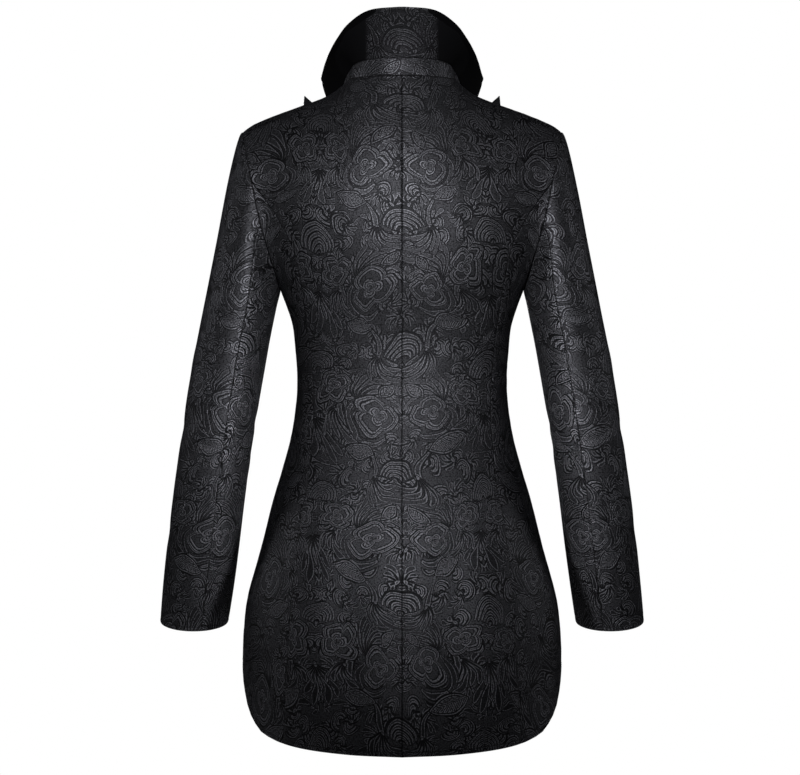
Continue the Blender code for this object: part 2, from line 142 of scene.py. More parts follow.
# Front edge: the lapel's roll line, then the neckline up to the shoulder seam.
ROLL = Table(
    ("level", "x", "y", "z"),
    (0.00, -23.3, -119.5, -239),
    (0.05, -4, -122, -214),
    (0.12, 13, -119, -180),
    (0.25, 37, -108, -126),
    (0.50, 65, -79, -50),
    (0.75, 71, -42, 0),
    (1.00, 65, -3, 22),
)
# Rings of the sleeve below the armhole. dip is how far its back hangs lower.
SLEEVE = Table(
    ("z", "inner_x", "outer_x", "centre_y", "half_depth", "dip"),
    (-646, 214.6, 299, -60, 40, 12),
    (-601, 207.3, 294.8, -44, 41, 11),
    (-542, 199.3, 288.4, -26, 44, 9),
    (-483, 191.9, 281, -11, 47, 7),
    (-424, 183.3, 272.5, -1, 50, 4),
    (-365, 174, 263.8, 4, 54, 1),
    (-306, 163.6, 253.4, 4, 58, 0),
    (-262, 154.8, 244.8, 2, 61, 0),
)
# Sections of the collar from the centre back to its point: neckline, top of the
# stand, belly of the fall and edge of the fall.
COLLAR = Table(
    ("station", "stand_x", "stand_y", "stand_z", "belly_x", "belly_y", "belly_z",
     "edge_x", "edge_y", "edge_z"),
    (0, 0, 55, 47, 0, 60, 78, 0, 73, 108),
    (1, 25, 50.5, 46.5, 30, 55, 76, 40, 67, 104),
    (2, 46, 37, 44, 55, 41, 68, 66, 50, 88),
    (3, 58, 19, 40, 69, 21, 58, 81, 27, 69),
    (4, 63, -3, 35, 77, -3, 47, 90, 2, 53),
    (5, 72, -32, 18, 85, -31, 31, 95, -21, 42),
    (6, 74, -58, -12, 90, -57, 9, 98.5, -44, 32),
    (7, 69, -82, -48, 93, -80, -12, 101, -66, 25),
)
# The lapel up its roll line: width as a share of the front, how much its outer edge
# climbs, and how far that edge stands off the chest.
LAPEL = Table(
    ("share", "reach", "lift", "stand_off"),
    (0.00, 0.03, 0.00, 0),
    (0.25, 0.16, 0.01, 0),
    (0.50, 0.29, 0.03, 1),
    (0.75, 0.40, 0.12, 4),
    (0.90, 0.42, 0.26, 9),
    (1.00, 0.38, 0.43, 15),
)
print("half width at the waist:", BODY("half_width", -358), "mm")

# %% [markdown]
# A tailor shapes cloth with curves that leave and arrive in a chosen direction. Bezier
# curves do the same with two handles. They are worked out here rather than drawn in the
# viewport, so that every size stays a number that can be changed.

# %% Smooth steps and curves
def smooth(t):
    """0 to 1 with a soft start and a soft end."""
    t = min(max(t, 0), 1)
    return t * t * (3 - 2 * t)


def mix(a, b, t):
    return a + (b - a) * t


def bezier(a, b, c, d, t):
    s = 1 - t
    return a * s ** 3 + b * (3 * s * s * t) + c * (3 * s * t * t) + d * t ** 3


print("a soft step:", [round(smooth(t / 4), 2) for t in range(5)])

# %% [markdown]
# Below the underarm the coat is a stack of rings. Above it, curves climb from each place
# on the underarm's ring to the neckline or the shoulder seam, and bulge over the
# shoulder blade. What is missing at the armhole and at the roll line is shared out over
# the surface, so that both of its edges end exactly on their own curves.

# %% The body's surface
def ring_point(turn, z):
    """A point of the body: turn is in degrees from the centre back by the left side."""
    angle = math.radians(turn)
    depth = BODY("back" if turn < 90 else "front", z)
    square = 1 + 0.035 * math.sin(2 * angle) ** 2
    return Vector((
        BODY("half_width", z) * math.sin(angle) * square,
        depth * math.cos(angle) * square,
        z,
    ))


def skirt_point(turn, level):
    """Level is -1 at the hem and 0 at the underarm."""
    hem = HEM("z", turn)
    return ring_point(turn, mix(hem, UNDERARM_Z, level + 1))


def neckline_point(share):
    angle = math.radians(90 * share)
    return Vector((
        NECK_HALF * math.sin(angle),
        mix(SHOULDER_SEAM_Y, NECK_BACK, math.cos(angle)),
        mix(NECK_SEAM_Z, NECK_POINT_Z, math.sin(angle) ** 2),
    ))


def shoulder_point(share):
    """Share is 0 at the neck and 1 at the shoulder point."""
    x = mix(NECK_HALF, SHOULDER_HALF, share)
    return Vector((x, SHOULDER_SEAM_Y, SHOULDER("z", x)))


def back_edge(level):
    return Vector((ARMHOLE("x", level), ARMHOLE("back_y", level), ARMHOLE("z", level)))


def front_edge(level):
    return Vector((ARMHOLE("front_x", level), ARMHOLE("front_y", level),
                   ARMHOLE("z", level)))


def roll_edge(level):
    return Vector((ROLL("x", level), ROLL("y", level), ROLL("z", level)))


CHEST_LEAN = 0.35                       # how early the chest leans to the shoulder


def back_loft(u, level):
    foot = ring_point(90 * u, UNDERARM_Z)
    if u < NECK_SHARE:
        top = neckline_point(u / NECK_SHARE)
    else:
        top = shoulder_point((u - NECK_SHARE) / (1 - NECK_SHARE))
    height = top.z - UNDERARM_Z
    blade = mix(20, 34, smooth(u / 0.4)) * smooth((1 - u) / 0.5)
    lower = foot + Vector(((top.x - foot.x) * CHEST_LEAN, blade, 0.62 * height))
    upper = top + Vector((YOKE("x", u), YOKE("y", u), YOKE("z", u)))
    return bezier(foot, lower, upper, top, level)


def back_point(u, level):
    """The back from the centre (u = 0) to the side seam and armhole (u = 1)."""
    if level <= 0:
        return skirt_point(90 * u, level)
    return back_loft(u, level) + (back_edge(level) - back_loft(1, level)) * u ** 3


def front_loft(u, level):
    foot = ring_point(mix(90, 180 + FRONT_LAP_TURN, u), UNDERARM_Z)
    top = shoulder_point(1 - u)
    height = top.z - UNDERARM_Z
    lean = smooth(u / 0.3)
    lower = foot + Vector(((top.x - foot.x) * CHEST_LEAN, 0, mix(0.7, 0.55, lean) * height))
    upper = top + Vector((0, -66, mix(-4, -10, lean)))
    return bezier(foot, lower, upper, top, level)


def front_point(u, level, lap=0):
    """The front from the side seam and armhole (u = 0) to its front edge (u = 1)."""
    if level <= 0:
        point = skirt_point(mix(90, 180 + FRONT_LAP_TURN, u), level)
    else:
        point = front_loft(u, level)
        point += (front_edge(level) - front_loft(0, level)) * (1 - u) ** 3
        point += (roll_edge(level) - front_loft(1, level)) * u ** 3
    point.y -= lap * smooth((60 - point.x) / 40)
    return point


print("shoulder blade:", [round(v) for v in back_point(0.5, 0.6)], "mm")

# %% [markdown]
# A wall of cloth is a grid of points on one of these surfaces. The same grid moved in
# by the cloth's thickness makes the wrong side. Along a seam the real cloth rolls in
# towards its stitches, so the outer points dip over the last few millimetres, and the
# rows and columns lie closer together there.

# %% Grids that are fine at their edges
ROLL_WIDTH, ROLL_DEPTH = 2.2, 0.45     # the roll beside a seam, millimetres
EDGE_STEPS = (0, 0.5, 1.1, 1.9, 2.9, 4.3)


def shares(length, pitch):
    """Even shares of a length, closer together over the roll at both ends."""
    first = [step / length for step in EDGE_STEPS]
    count = max(2, round((length - 2 * EDGE_STEPS[-1]) / pitch))
    inner = [mix(first[-1], 1 - first[-1], i / count) for i in range(1, count)]
    return first + inner + [1 - share for share in reversed(first)]


def roll(distance):
    """How far the right side dips at a distance from a seam or an edge."""
    return ROLL_DEPTH * (1 - smooth(distance / ROLL_WIDTH)) ** 2


def pucker(distance, along, seed):
    """The small uneven pull of the stitches beside a seam."""
    pull = noise.noise(Vector((along / 11, seed, 0.3))) + 0.4 * noise.noise(
        Vector((along / 4.5, seed, 7.1)))
    return 0.34 * pull * math.exp(-distance / 8)


def direction(surface, u, v, step=0.004):
    """The outward direction of a surface, from two short steps on it."""
    along = surface(u + step, v) - surface(u - step, v)
    up = surface(u, v + step) - surface(u, v - step)
    return up.cross(along).normalized()


def width_step(surface, u, v, length, step=0.002):
    """The step in u that moves a point by this length."""
    run = (surface(u + step, v) - surface(u - step, v)).length
    return length * 2 * step / run


print("points on a seam of 100 mm:", len(shares(100, 5)))

# %% [markdown]
# A crease is a soft trough or ridge that runs from one place to another. Each is one
# row of a table: where it starts and ends on the flat cloth, how deep it is and how
# wide. They are placed one by one and no two are alike, as on a worn coat. What the photo
# hides, the fronts, gets creases of the same kind.

# %% Creases placed one by one
# Each row holds along, up, to_along, to_up, depth and width. along and up are
# millimetres on the cloth: along from the panel's first edge, up from the underarm or,
# on a sleeve, from its first level ring. A negative depth is a ridge.
CREASES = {
    "back": (
        (150, 40, 96, -22, 1.9, 13),
        (140, 12, 92, -46, -1.1, 11),
        (104, -92, 34, -112, 1.3, 12),
        (96, -124, 18, -131, 1.1, 9),
        (10, -104, 66, -92, -0.8, 10),
        (88, -148, 30, -166, -0.9, 11),
        (112, -164, 60, -150, 1.0, 10),
        (14, 226, 46, 196, 1.5, 10),
        (5, 232, 13, 190, -1.0, 7),
        (0, 254, 5, 230, 1.3, 3.2),
        (2, 258, 24, 250, 0.9, 3.6),
        (70, 205, 128, 214, 0.8, 15),
        (58, -270, 70, -560, 2.4, 26),
        (102, -300, 124, -540, -2.2, 24),
        (18, -330, 22, -560, -1.6, 20),
    ),
    "side_back": (
        (6, 12, 30, -34, 1.3, 11),
        (4, -70, 40, -96, 1.2, 10),
        (8, -128, 34, -112, -0.9, 9),
        (26, -260, 40, -500, 2.2, 22),
    ),
    "front": (
        (24, 34, 70, -18, 1.7, 13),
        (30, 8, 78, -40, -1.0, 11),
        (20, -94, 118, -58, 1.3, 11),
        (34, -120, 132, -92, 1.1, 10),
        (14, -112, 92, -80, -0.9, 10),
        (30, -146, 118, -124, -0.8, 11),
        (40, -240, 56, -460, 2.2, 24),
        (84, -230, 104, -400, -1.8, 22),
    ),
    "top_sleeve": (
        (12, -8, 66, -52, 1.7, 10),
        (30, -6, 90, -66, -1.1, 10),
        (4, -118, 74, -150, 1.9, 9),
        (2, -140, 66, -162, -1.2, 8),
        (6, -160, 70, -196, 1.6, 9),
        (118, -120, 66, -164, 1.3, 10),
        (10, -232, 50, -254, 1.0, 9),
        (96, -262, 54, -300, 1.1, 12),
        (8, -318, 46, -352, 1.0, 11),
        (170, -110, 120, -150, 1.5, 10),
        (176, -140, 128, -172, 1.2, 9),
        (168, -250, 120, -290, 1.0, 11),
    ),
    "under_sleeve": (
        (104, -14, 62, -46, 1.6, 10),
        (108, -128, 50, -158, 1.8, 9),
        (106, -152, 56, -176, -1.1, 8),
        (104, -178, 48, -206, 1.4, 9),
        (8, -120, 52, -146, 1.5, 9),
        (10, -156, 50, -178, 1.2, 9),
        (100, -274, 56, -308, 1.0, 11),
    ),
}


def crease_relief(kind, side, along, up):
    """How far the creases of a panel move its cloth in at a place."""
    total = 0
    for k, (a, b, c, d, depth, width) in enumerate(CREASES.get(kind, ())):
        shift = 7 * noise.noise(Vector((k * 3.1, side * 2.7, 0.5)))
        a, b, c, d = a + shift, b - shift, c + shift * 0.6, d + shift
        run = (c - a) ** 2 + (d - b) ** 2
        t = ((along - a) * (c - a) + (up - b) * (d - b)) / run
        near = min(max(t, 0), 1)
        away = math.hypot(along - a - near * (c - a), up - b - near * (d - b))
        if away < 3 * width:
            taper = 0.35 + 0.65 * math.sin(math.pi * (0.08 + 0.84 * near))
            total += depth * taper * math.exp(-(away / width) ** 2)
    swell = noise.noise(Vector((along / 60, up / 75, side * 5 + len(kind))))
    return total + 0.55 * swell


print("creases:", sum(len(rows) for rows in CREASES.values()))

# %% [markdown]
# The hem, the front edges and the cuffs are not seams: there the cloth is turned under
# and stitched down, so that the edge is a little fuller and a fine groove runs beside
# it. The relief of each panel says which of its four edges is a seam and which is
# turned.

# %% The relief of a panel
HEM_STITCH, HEM_GROOVE = 5.6, 0.7       # how far in the hem's stitches lie, how deep
PUCKER_REACH = 30
# The turned edges of each kind of piece: 0 is the first, 1 the last, 2 the bottom, 3 the
# top. The others are seams.
TURNED = {"back": (2,), "side_back": (2,), "front": (1, 2), "top_sleeve": (3,),
          "under_sleeve": (3,), "stand": (), "fall": (3,), "lapel": (0, 1, 2, 3)}


def relief(kind, side, place, edges):
    """How far in the right side lies at a place with these distances to its edges."""
    along, up = place
    depth = crease_relief(kind, side, along, up)
    for k, distance in enumerate(edges):
        depth += roll(distance)
        if k in TURNED[kind]:
            depth += HEM_GROOVE * math.exp(-(distance - HEM_STITCH) ** 2)
        elif distance < PUCKER_REACH:
            depth += pucker(distance, up if k < 2 else along, k + side)
    return depth


at_seam = relief("back", 1, (0, 0), (0, 150, 80, 80))
print(f"the back's right side lies in by {at_seam:.2f} mm at its seam")

# %% [markdown]
# A woven pattern follows the threads of each cut panel, not the body under it. So each
# point also gets a place on the flat cloth, measured along the rows and up the columns.
# These places become the UV map, in metres, and say how large the cut piece is. An
# automatic unwrap would turn and stretch the panels as it likes.

# %% Places on the flat cloth
def run_lengths(rows):
    """Length along each row and up each column, for each point."""
    along = []
    for row in rows:
        line = [0]
        for a, b in zip(row, row[1:]):
            line.append(line[-1] + (b - a).length)
        along.append(line)
    up = [[0] * len(rows[0])]
    for below, row in zip(rows, rows[1:]):
        up.append([u + (b - a).length for u, a, b in zip(up[-1], below, row)])
    return along, up


def flat_places(rows, base_row):
    """Millimetres along the cloth, and up it from a base row, for each point of a grid."""
    _, up = run_lengths(rows)
    places = []
    for row, heights in zip(rows, up):
        along, line = 0, []
        for c, point in enumerate(row):
            along += math.hypot(point.x - row[c - 1].x, point.y - row[c - 1].y) if c else 0
            line.append([along, heights[c] - up[base_row][c]])
        places.append(line)
    return places


def edge_distances(rows, r, c, lengths):
    """Millimetres from a point to the four edges of its grid."""
    row_length, column_length = lengths
    return (row_length[r][c], row_length[r][-1] - row_length[r][c],
            column_length[r][c], column_length[-1][c] - column_length[r][c])


square = [[Vector((x, y, 0)) for x in (0, 3, 6)] for y in (0, 4)]
print("corner of a flat 6 x 4 piece:", flat_places(square, 0)[-1][-1])

# %% [markdown]
# The wall is closed with BMesh, face by face, because a Solidify modifier would know
# nothing of seams: here the wrong side runs on a little under each seam, as a seam
# allowance does, so that no light shines through the gap.

# %% Helpers for the wall
def as_mesh(bm, name):
    """Turns a BMesh into a mesh."""
    mesh = bpy.data.meshes.new(name)
    bm.to_mesh(mesh)
    bm.free()
    return mesh


def added(name, data):
    """A new object in the scene."""
    thing = bpy.data.objects.new(name, data)
    scene.collection.objects.link(thing)
    return thing


TUCK, COLLAR_TUCK = 0.45, 1.3           # the wrong side runs on under a seam
FAR = 90                                # stands for the distance to an edge it lacks
CLOTHS, GRIDS = {}, {}                  # the pieces, and their rows and columns
# How far along and up the uncut cloth a piece was laid, which places its pattern.
LAID = {"side_back": (131, 46), "front": (214, 20), "top_sleeve": (36, -30),
        "under_sleeve": (91, -30), "stand": (0, 30), "fall": (0, 64)}


def tucked(rows, turned, reach):
    """The wrong side's points, run on at the seams so that no light comes through."""
    moved = [[point.copy() for point in row] for row in rows]
    for k, (first, second) in enumerate(((0, 1), (-1, -2))):
        if k not in turned:
            for row, line in zip(rows, moved):
                line[first] += (row[first] - row[second]).normalized() * reach
        if k + 2 not in turned:
            for c in range(len(rows[0])):
                out = (rows[first][c] - rows[second][c]).normalized()
                moved[first][c] += out * reach
    return moved


def nearest(edges, turned, hemmed):
    """Distance to the nearest turned edge, or to the nearest seam."""
    return min([edges[k] for k in range(4) if (k in turned) == hemmed], default=FAR)


print("seams run on by", TUCK, "mm, and by", COLLAR_TUCK, "mm on the collar")

# %% [markdown]
# One function makes every piece. It takes rows of points, their outward directions and
# their places on the flat cloth, moves the right side by its relief, and closes the
# wall. A second UV map holds how far each point lies from a seam and from a turned edge.

# %% The wall of one piece
def cloth_piece(name, rows, ways, places, kind, side=1, weave=None):
    """A closed wall of cloth in place of the node of this name."""
    weave = weave or places
    turned = TURNED[kind]
    flip = Vector((side, 1, 1))
    laid_along, laid_up = LAID.get(kind, (0, 0))
    lengths = run_lengths(rows)
    wrong_rows = tucked(rows, turned, COLLAR_TUCK if kind in ("stand", "fall") else TUCK)
    bm = bmesh.new()
    uv, rim = (bm.loops.layers.uv.new(layer) for layer in ("cloth", "edge"))
    sheets, spots, rims = [], {}, {}
    for wrong_side, grid in ((False, rows), (True, wrong_rows)):
        sheet = []
        for r, row in enumerate(grid):
            line = []
            for c, point in enumerate(row):
                edges = edge_distances(rows, r, c, lengths)
                if wrong_side:
                    depth = crease_relief(kind, side, *places[r][c]) + CLOTH
                else:
                    depth = relief(kind, side, places[r][c], edges)
                vert = bm.verts.new((point - ways[r][c] * depth) * flip * MM)
                along, up = weave[r][c]
                spots[vert] = (along + laid_along) * side * MM, (up + laid_up) * MM
                rims[vert] = [nearest(edges, turned, hemmed) * MM for hemmed in (False, True)]
                line.append(vert)
            sheet.append(line)
        sheets.append(sheet)
    last_row, last_column = len(rows) - 1, len(rows[0]) - 1
    right, wrong = sheets
    for r in range(last_row):
        for c in range(last_column):
            for k, sheet in enumerate(sheets):
                quad = (sheet[r][c], sheet[r][c + 1], sheet[r + 1][c + 1], sheet[r + 1][c])
                bm.faces.new(quad).material_index = k
    for r in range(last_row):
        for c in (0, last_column):
            bm.faces.new((right[r][c], right[r + 1][c], wrong[r + 1][c], wrong[r][c]))
    for c in range(last_column):
        for r in (0, last_row):
            bm.faces.new((right[r][c], right[r][c + 1], wrong[r][c + 1], wrong[r][c]))
    bmesh.ops.recalc_face_normals(bm, faces=bm.faces)
    area = 0
    for face in bm.faces:
        face.smooth = True
        if face.material_index == 0:
            area += face.calc_area()
        for loop in face.loops:
            loop[uv].uv, loop[rim].uv = spots[loop.vert], rims[loop.vert]
    mesh = as_mesh(bm, name + "_cloth")
    mesh.set_sharp_from_angle(angle=math.radians(60))
    piece = added(name + "_cloth", mesh)
    CLOTHS[name] = piece
    GRIDS[name] = len(rows), len(rows[0])
    wide, tall = ([place[k] for line in places for place in line] for k in range(2))
    flat = (max(wide) - min(wide)) * MM, (max(tall) - min(tall)) * MM
    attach(piece, "root")
    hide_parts(name)
    print(f"{name}: cut {flat[0]:.3f} x {flat[1]:.3f} m, {area:.4f} m2,",
          len(mesh.polygons), "faces")


# %% [markdown]
# The back is two halves that meet in the centre back seam. Each half is cut again by a
# curved seam from the armhole to the hem, which shapes the waist. A row of the grid is
# one height round the body; below the underarm the rows tilt down to the tail.

# %% Rows, and the seams that cut them
ROW_PITCH, COLUMN_PITCH = 6.2, 5.6
SKIRT_LENGTH, ARMHOLE_LENGTH = 567, 275
BACK_WIDTH, SIDE_BACK_WIDTH, FRONT_WIDTH = 150, 55, 165
UP_LEVEL = 0.4333                       # where the side-back seam meets the armhole
SIDE_TIP = 0.6                          # width of the side back's upper tip
SIDES = ((1, "left"), (-1, "right"))


def body_levels():
    """Levels from the hem up to the shoulder seam."""
    skirt = [-1 + t for t in shares(SKIRT_LENGTH, ROW_PITCH)]
    skirt = [t for t in skirt if t < -EDGE_STEPS[-1] / SKIRT_LENGTH] + [0]
    chest = [t for t in shares(ARMHOLE_LENGTH, ROW_PITCH) if t > EDGE_STEPS[-1] / ARMHOLE_LENGTH]
    return skirt + chest


LEVELS = body_levels()
UNDERARM_ROW = LEVELS.index(0)


def princess(level):
    """Where the side-back seam runs at a level, as a share of the back."""
    tip = 1 - width_step(back_point, 0.99, max(level, 0.01), SIDE_TIP + SEAM_GAP)
    low, high = 0.3, tip
    for _ in range(28):
        middle = (low + high) / 2
        point = back_point(middle, level)
        if point.x < PRINCESS("x", point.z):
            low = middle
        else:
            high = middle
    return (low + high) / 2


def panel_grid(surface, edges, levels, width):
    """Points and outward directions of a panel between its two edges."""
    columns = shares(width, COLUMN_PITCH)
    rows, ways = [], []
    for level in levels:
        start, end = edges(level)
        line = [mix(start, end, c) for c in columns]
        rows.append([surface(u, level) for u in line])
        ways.append([direction(surface, u, level) for u in line])
    return rows, ways


def join_shoulder(rows, first, side):
    """Keeps the shoulder seam's row on its own side of the seam."""
    for point in rows[-1][first:]:
        point.y = SHOULDER_SEAM_Y + side * SEAM_GAP / 2


print("rows:", len(LEVELS), "of them", UNDERARM_ROW, "below the underarm")


# %% [markdown]
# Left and right are cut from the same grid and only turned over, as a cutter lays the
# cloth double. Their creases differ a little, because they read other noise.

# %% The back and side back panels
def back_edges(level):
    start = width_step(back_point, 0.01, level, SEAM_GAP / 2)
    if level >= UP_LEVEL:
        return start, 1
    seam = princess(level)
    return start, seam - width_step(back_point, seam, level, SEAM_GAP / 2)


def side_back_edges(level):
    seam = princess(level)
    start = seam + width_step(back_point, seam, level, SEAM_GAP / 2)
    if level < 0:
        return start, 1 - width_step(back_point, 0.99, level, SEAM_GAP / 2)
    return start, 1


back_rows, back_ways = panel_grid(back_point, back_edges, LEVELS, BACK_WIDTH)
join_shoulder(back_rows, round(len(back_rows[0]) * NECK_SHARE), 1)
back_places = flat_places(back_rows, UNDERARM_ROW)
side_levels = [level for level in LEVELS if level < UP_LEVEL] + [UP_LEVEL]
side_rows, side_ways = panel_grid(back_point, side_back_edges, side_levels, SIDE_BACK_WIDTH)
side_places = flat_places(side_rows, UNDERARM_ROW)
for side, word in SIDES:
    cloth_piece("back_" + word, back_rows, back_ways, back_places, "back", side)
    cloth_piece("side_back_" + word, side_rows, side_ways, side_places, "side_back", side)

# %% [markdown]
# Each front runs from the side seam to its edge, and its skirt is cut away to the
# tail. The right front laps over the left, so its edge lies a little further out.

# %% The fronts
FRONT_LAPS = {"left": 0, "right": 3.2}


def front_surface(lap):
    return lambda u, level: front_point(u, level, lap)


for side, word in SIDES:
    surface = front_surface(FRONT_LAPS[word])

    def front_edges(level):
        return (width_step(surface, 0.01, level, SEAM_GAP / 2) if level < 0 else 0), 1

    rows, ways = panel_grid(surface, front_edges, LEVELS, FRONT_WIDTH)
    join_shoulder(rows, 0, -1)
    cloth_piece("front_" + word, rows, ways, flat_places(rows, UNDERARM_ROW), "front", side)

# %% [markdown]
# A tailored sleeve is cut in two, so that it can bend with the arm: the top sleeve, and
# the narrower under sleeve that the body hides. The seam behind the arm is the bright
# line down each sleeve in the photo. The head of the sleeve is a little fuller than the
# armhole, which rounds the shoulder.

# %% The sleeve's surface
ARMHOLE_ROWS = 13
HIND_SEAM, FORE_SEAM = 5, 21            # places of the two seams round the armhole
ARM_TOP_Z, CUFF_Z, HEAD_REACH = -262, -646, 9
HEAD_OUTSIDE, HEAD_INSIDE = Vector((0.96, 0, -0.28)), Vector((0.25, 0, -0.97))
SLEEVE_TURN = Table(
    ("place", "angle"),
    (0, 180), (HIND_SEAM, 102), (ARMHOLE_ROWS, 0), (FORE_SEAM, -132),
    (2 * ARMHOLE_ROWS, -180),
)


def armhole_lengths():
    """Levels that share out the lengths of the armhole and the roll line evenly."""
    fine = [i / 240 for i in range(241)]
    lengths = [0]
    for low, high in zip(fine, fine[1:]):
        run = (back_edge(high) - back_edge(low)).length
        run += (roll_edge(high) - roll_edge(low)).length
        lengths.append(lengths[-1] + run)
    levels = []
    for i in range(ARMHOLE_ROWS + 1):
        wanted = lengths[-1] * i / ARMHOLE_ROWS
        levels.append(fine[min(range(len(fine)), key=lambda k: abs(lengths[k] - wanted))])
    return levels


ARM_LEVELS = armhole_lengths()


def armhole_point(place):
    """A point round the left armhole: 0 the underarm, 13 the shoulder, 26 back again."""
    place %= 2 * ARMHOLE_ROWS
    row = place if place <= ARMHOLE_ROWS else 2 * ARMHOLE_ROWS - place
    k = min(int(row), ARMHOLE_ROWS - 1)
    level = mix(ARM_LEVELS[k], ARM_LEVELS[k + 1], row - k)
    edge = back_edge(level) if place <= ARMHOLE_ROWS else front_edge(level)
    return edge + Vector((SEAM_GAP, 0, 0))


def arm_point(angle, z):
    """A point of the sleeve below the armhole."""
    turn = math.radians(angle)
    return Vector((
        mix(SLEEVE("inner_x", z), SLEEVE("outer_x", z), (1 + math.cos(turn)) / 2),
        SLEEVE("centre_y", z) + SLEEVE("half_depth", z) * math.sin(turn),
        z - SLEEVE("dip", z) * math.sin(turn),
    ))


def sleeve_point(place, down):
    """Down is 0 at the armhole, 1 at the first level ring and 2 at the cuff."""
    angle = SLEEVE_TURN("angle", place % (2 * ARMHOLE_ROWS))
    if down >= 1:
        return arm_point(angle, mix(ARM_TOP_Z, CUFF_Z, down - 1))
    start = armhole_point(place)
    foot = arm_point(angle, ARM_TOP_Z)
    drop = start.z - foot.z
    outward = (1 + math.cos(math.radians(angle))) / 2
    leave = HEAD_OUTSIDE.lerp(HEAD_INSIDE, 1 - outward)
    upper = start + leave * mix(drop * 0.4, HEAD_REACH, smooth(outward * 1.6))
    below = (foot - arm_point(angle, ARM_TOP_Z - 20)).normalized()
    lower = foot + below * drop * mix(0.4, 0.62, outward)
    return bezier(start, upper, lower, foot, down)


def sleeve_direction(place, down):
    after = sleeve_point(place + 0.02, down) - sleeve_point(place - 0.02, down)
    low, high = max(down - 0.004, 0), down + 0.004
    return after.cross(sleeve_point(place, high) - sleeve_point(place, low)).normalized()


print("levels round the armhole:", len(ARM_LEVELS))

# %% [markdown]
# On a sleeve the rows are rings from the armhole to the cuff. The head isn't a form that
# unrolls, so its flat places come from slices at one height, which keeps the pattern
# upright round the shoulder.

# %% The top and under sleeves
CAP_LENGTH, ARM_LENGTH = 150, 386
ARM_DOWNS = [t for t in shares(CAP_LENGTH, ROW_PITCH) if t < 1 - EDGE_STEPS[-1] / CAP_LENGTH]
ARM_DOWNS.append(1)
SLEEVE_TOP_ROW = len(ARM_DOWNS) - 1
ARM_DOWNS += [1 + t for t in shares(ARM_LENGTH, ROW_PITCH) if t > EDGE_STEPS[-1] / ARM_LENGTH]
PLACE_LENGTH = 13                       # millimetres to one place round the arm


def sleeve_grid(first, last):
    columns = [mix(first, last, c) for c in shares((last - first) * PLACE_LENGTH, COLUMN_PITCH)]
    seam = SEAM_GAP / 2 / PLACE_LENGTH
    columns[0] += seam
    columns[-1] -= seam
    rows = [[sleeve_point(p, down) for p in columns] for down in ARM_DOWNS]
    ways = [[sleeve_direction(p, down) for p in columns] for down in ARM_DOWNS]
    return rows, ways


def sleeve_places(rows):
    """As flat_places, with up measured from the sleeve's first level ring."""
    places = flat_places(rows, SLEEVE_TOP_ROW)
    return [[[along, -up] for along, up in line] for line in places]


ARC, HEAD_BLEND = 1.11, 0.6             # arc to chord of a quarter; rows left as they are


def head_places(rows, places, middle):
    """Places on the head from slices at one height, measured from its outer column."""
    heights = [row[middle] for row in rows[:SLEEVE_TOP_ROW + 1]]
    weave = [list(line) for line in places]
    for r in range(SLEEVE_TOP_ROW):
        old = smooth((r / SLEEVE_TOP_ROW - HEAD_BLEND) / (1 - HEAD_BLEND))
        for c, point in enumerate(rows[r]):
            k = next((k for k, spot in enumerate(heights) if k and spot.z <= point.z),
                     SLEEVE_TOP_ROW)
            high, low = heights[k - 1], heights[k]
            share = min(max((high.z - point.z) / (high.z - low.z), 0), 1)
            gap = (high.lerp(low, share) - point).xy.length * ARC
            along = places[SLEEVE_TOP_ROW][middle][0] + (gap if c > middle else -gap)
            up = mix(places[k - 1][middle][1], places[k][middle][1], share)
            weave[r][c] = [mix(along, places[r][c][0], old), mix(up, places[r][c][1], old)]
    return weave


for kind, first, last in (("top_sleeve", HIND_SEAM, FORE_SEAM),
                          ("under_sleeve", FORE_SEAM, HIND_SEAM + 2 * ARMHOLE_ROWS)):
    rows, ways = sleeve_grid(first, last)
    places = weave = sleeve_places(rows)
    if kind == "top_sleeve":
        outer = (ARMHOLE_ROWS - first) / (last - first)
        weave = head_places(rows, places, round(outer * (len(rows[0]) - 1)))
    for side, word in SIDES:
        cloth_piece(f"{kind}_{word}", rows, ways, places, kind, side, weave)

# %% [markdown]
# The collar stands up all round and flares out at the back of the neck. Its stand is a
# narrow band, and the fall above it opens like a cup. The lapels roll back from the
# front edges, and their peaks show from behind as two small hooks on the shoulders.

# %% The collar and the lapels
GORGE_LEVEL = ARM_LEVELS[9]             # where the collar ends on the roll line
NECK_STATION, COLLAR_STATIONS = 4, 7    # at the shoulder seam, at the collar's point
COLLAR_LENGTH, STAND_HEIGHT, FALL_HEIGHT = 330, 28, 66
LAPEL_LEVEL, LAPEL_TOP, LAPEL_CLEAR = 0.09, 0.48, 0.8
LAPEL_WIDTH, LAPEL_LENGTH = 70, 190


def collar_section(station):
    """Neckline, stand top, belly and edge at a station; negative ones are the right."""
    flip = Vector((-1 if station < 0 else 1, 1, 1))
    at = abs(station)
    if at <= NECK_STATION:
        neck = neckline_point(at / NECK_STATION)
    else:
        share = (at - NECK_STATION) / (COLLAR_STATIONS - NECK_STATION)
        neck = roll_edge(1 - share * (1 - GORGE_LEVEL))
    spots = [neck] + [Vector([COLLAR(f"{name}_{axis}", at) for axis in "xyz"])
                      for name in ("stand", "belly", "edge")]
    return [spot * flip for spot in spots]


def grid_directions(rows):
    """Outward directions of a grid whose rows run round and whose columns run up."""
    ways = []
    for r, row in enumerate(rows):
        above, below = rows[min(r + 1, len(rows) - 1)], rows[max(r - 1, 0)]
        line = []
        for c in range(len(row)):
            along = row[min(c + 1, len(row) - 1)] - row[max(c - 1, 0)]
            line.append((above[c] - below[c]).cross(along).normalized())
        ways.append(line)
    return ways


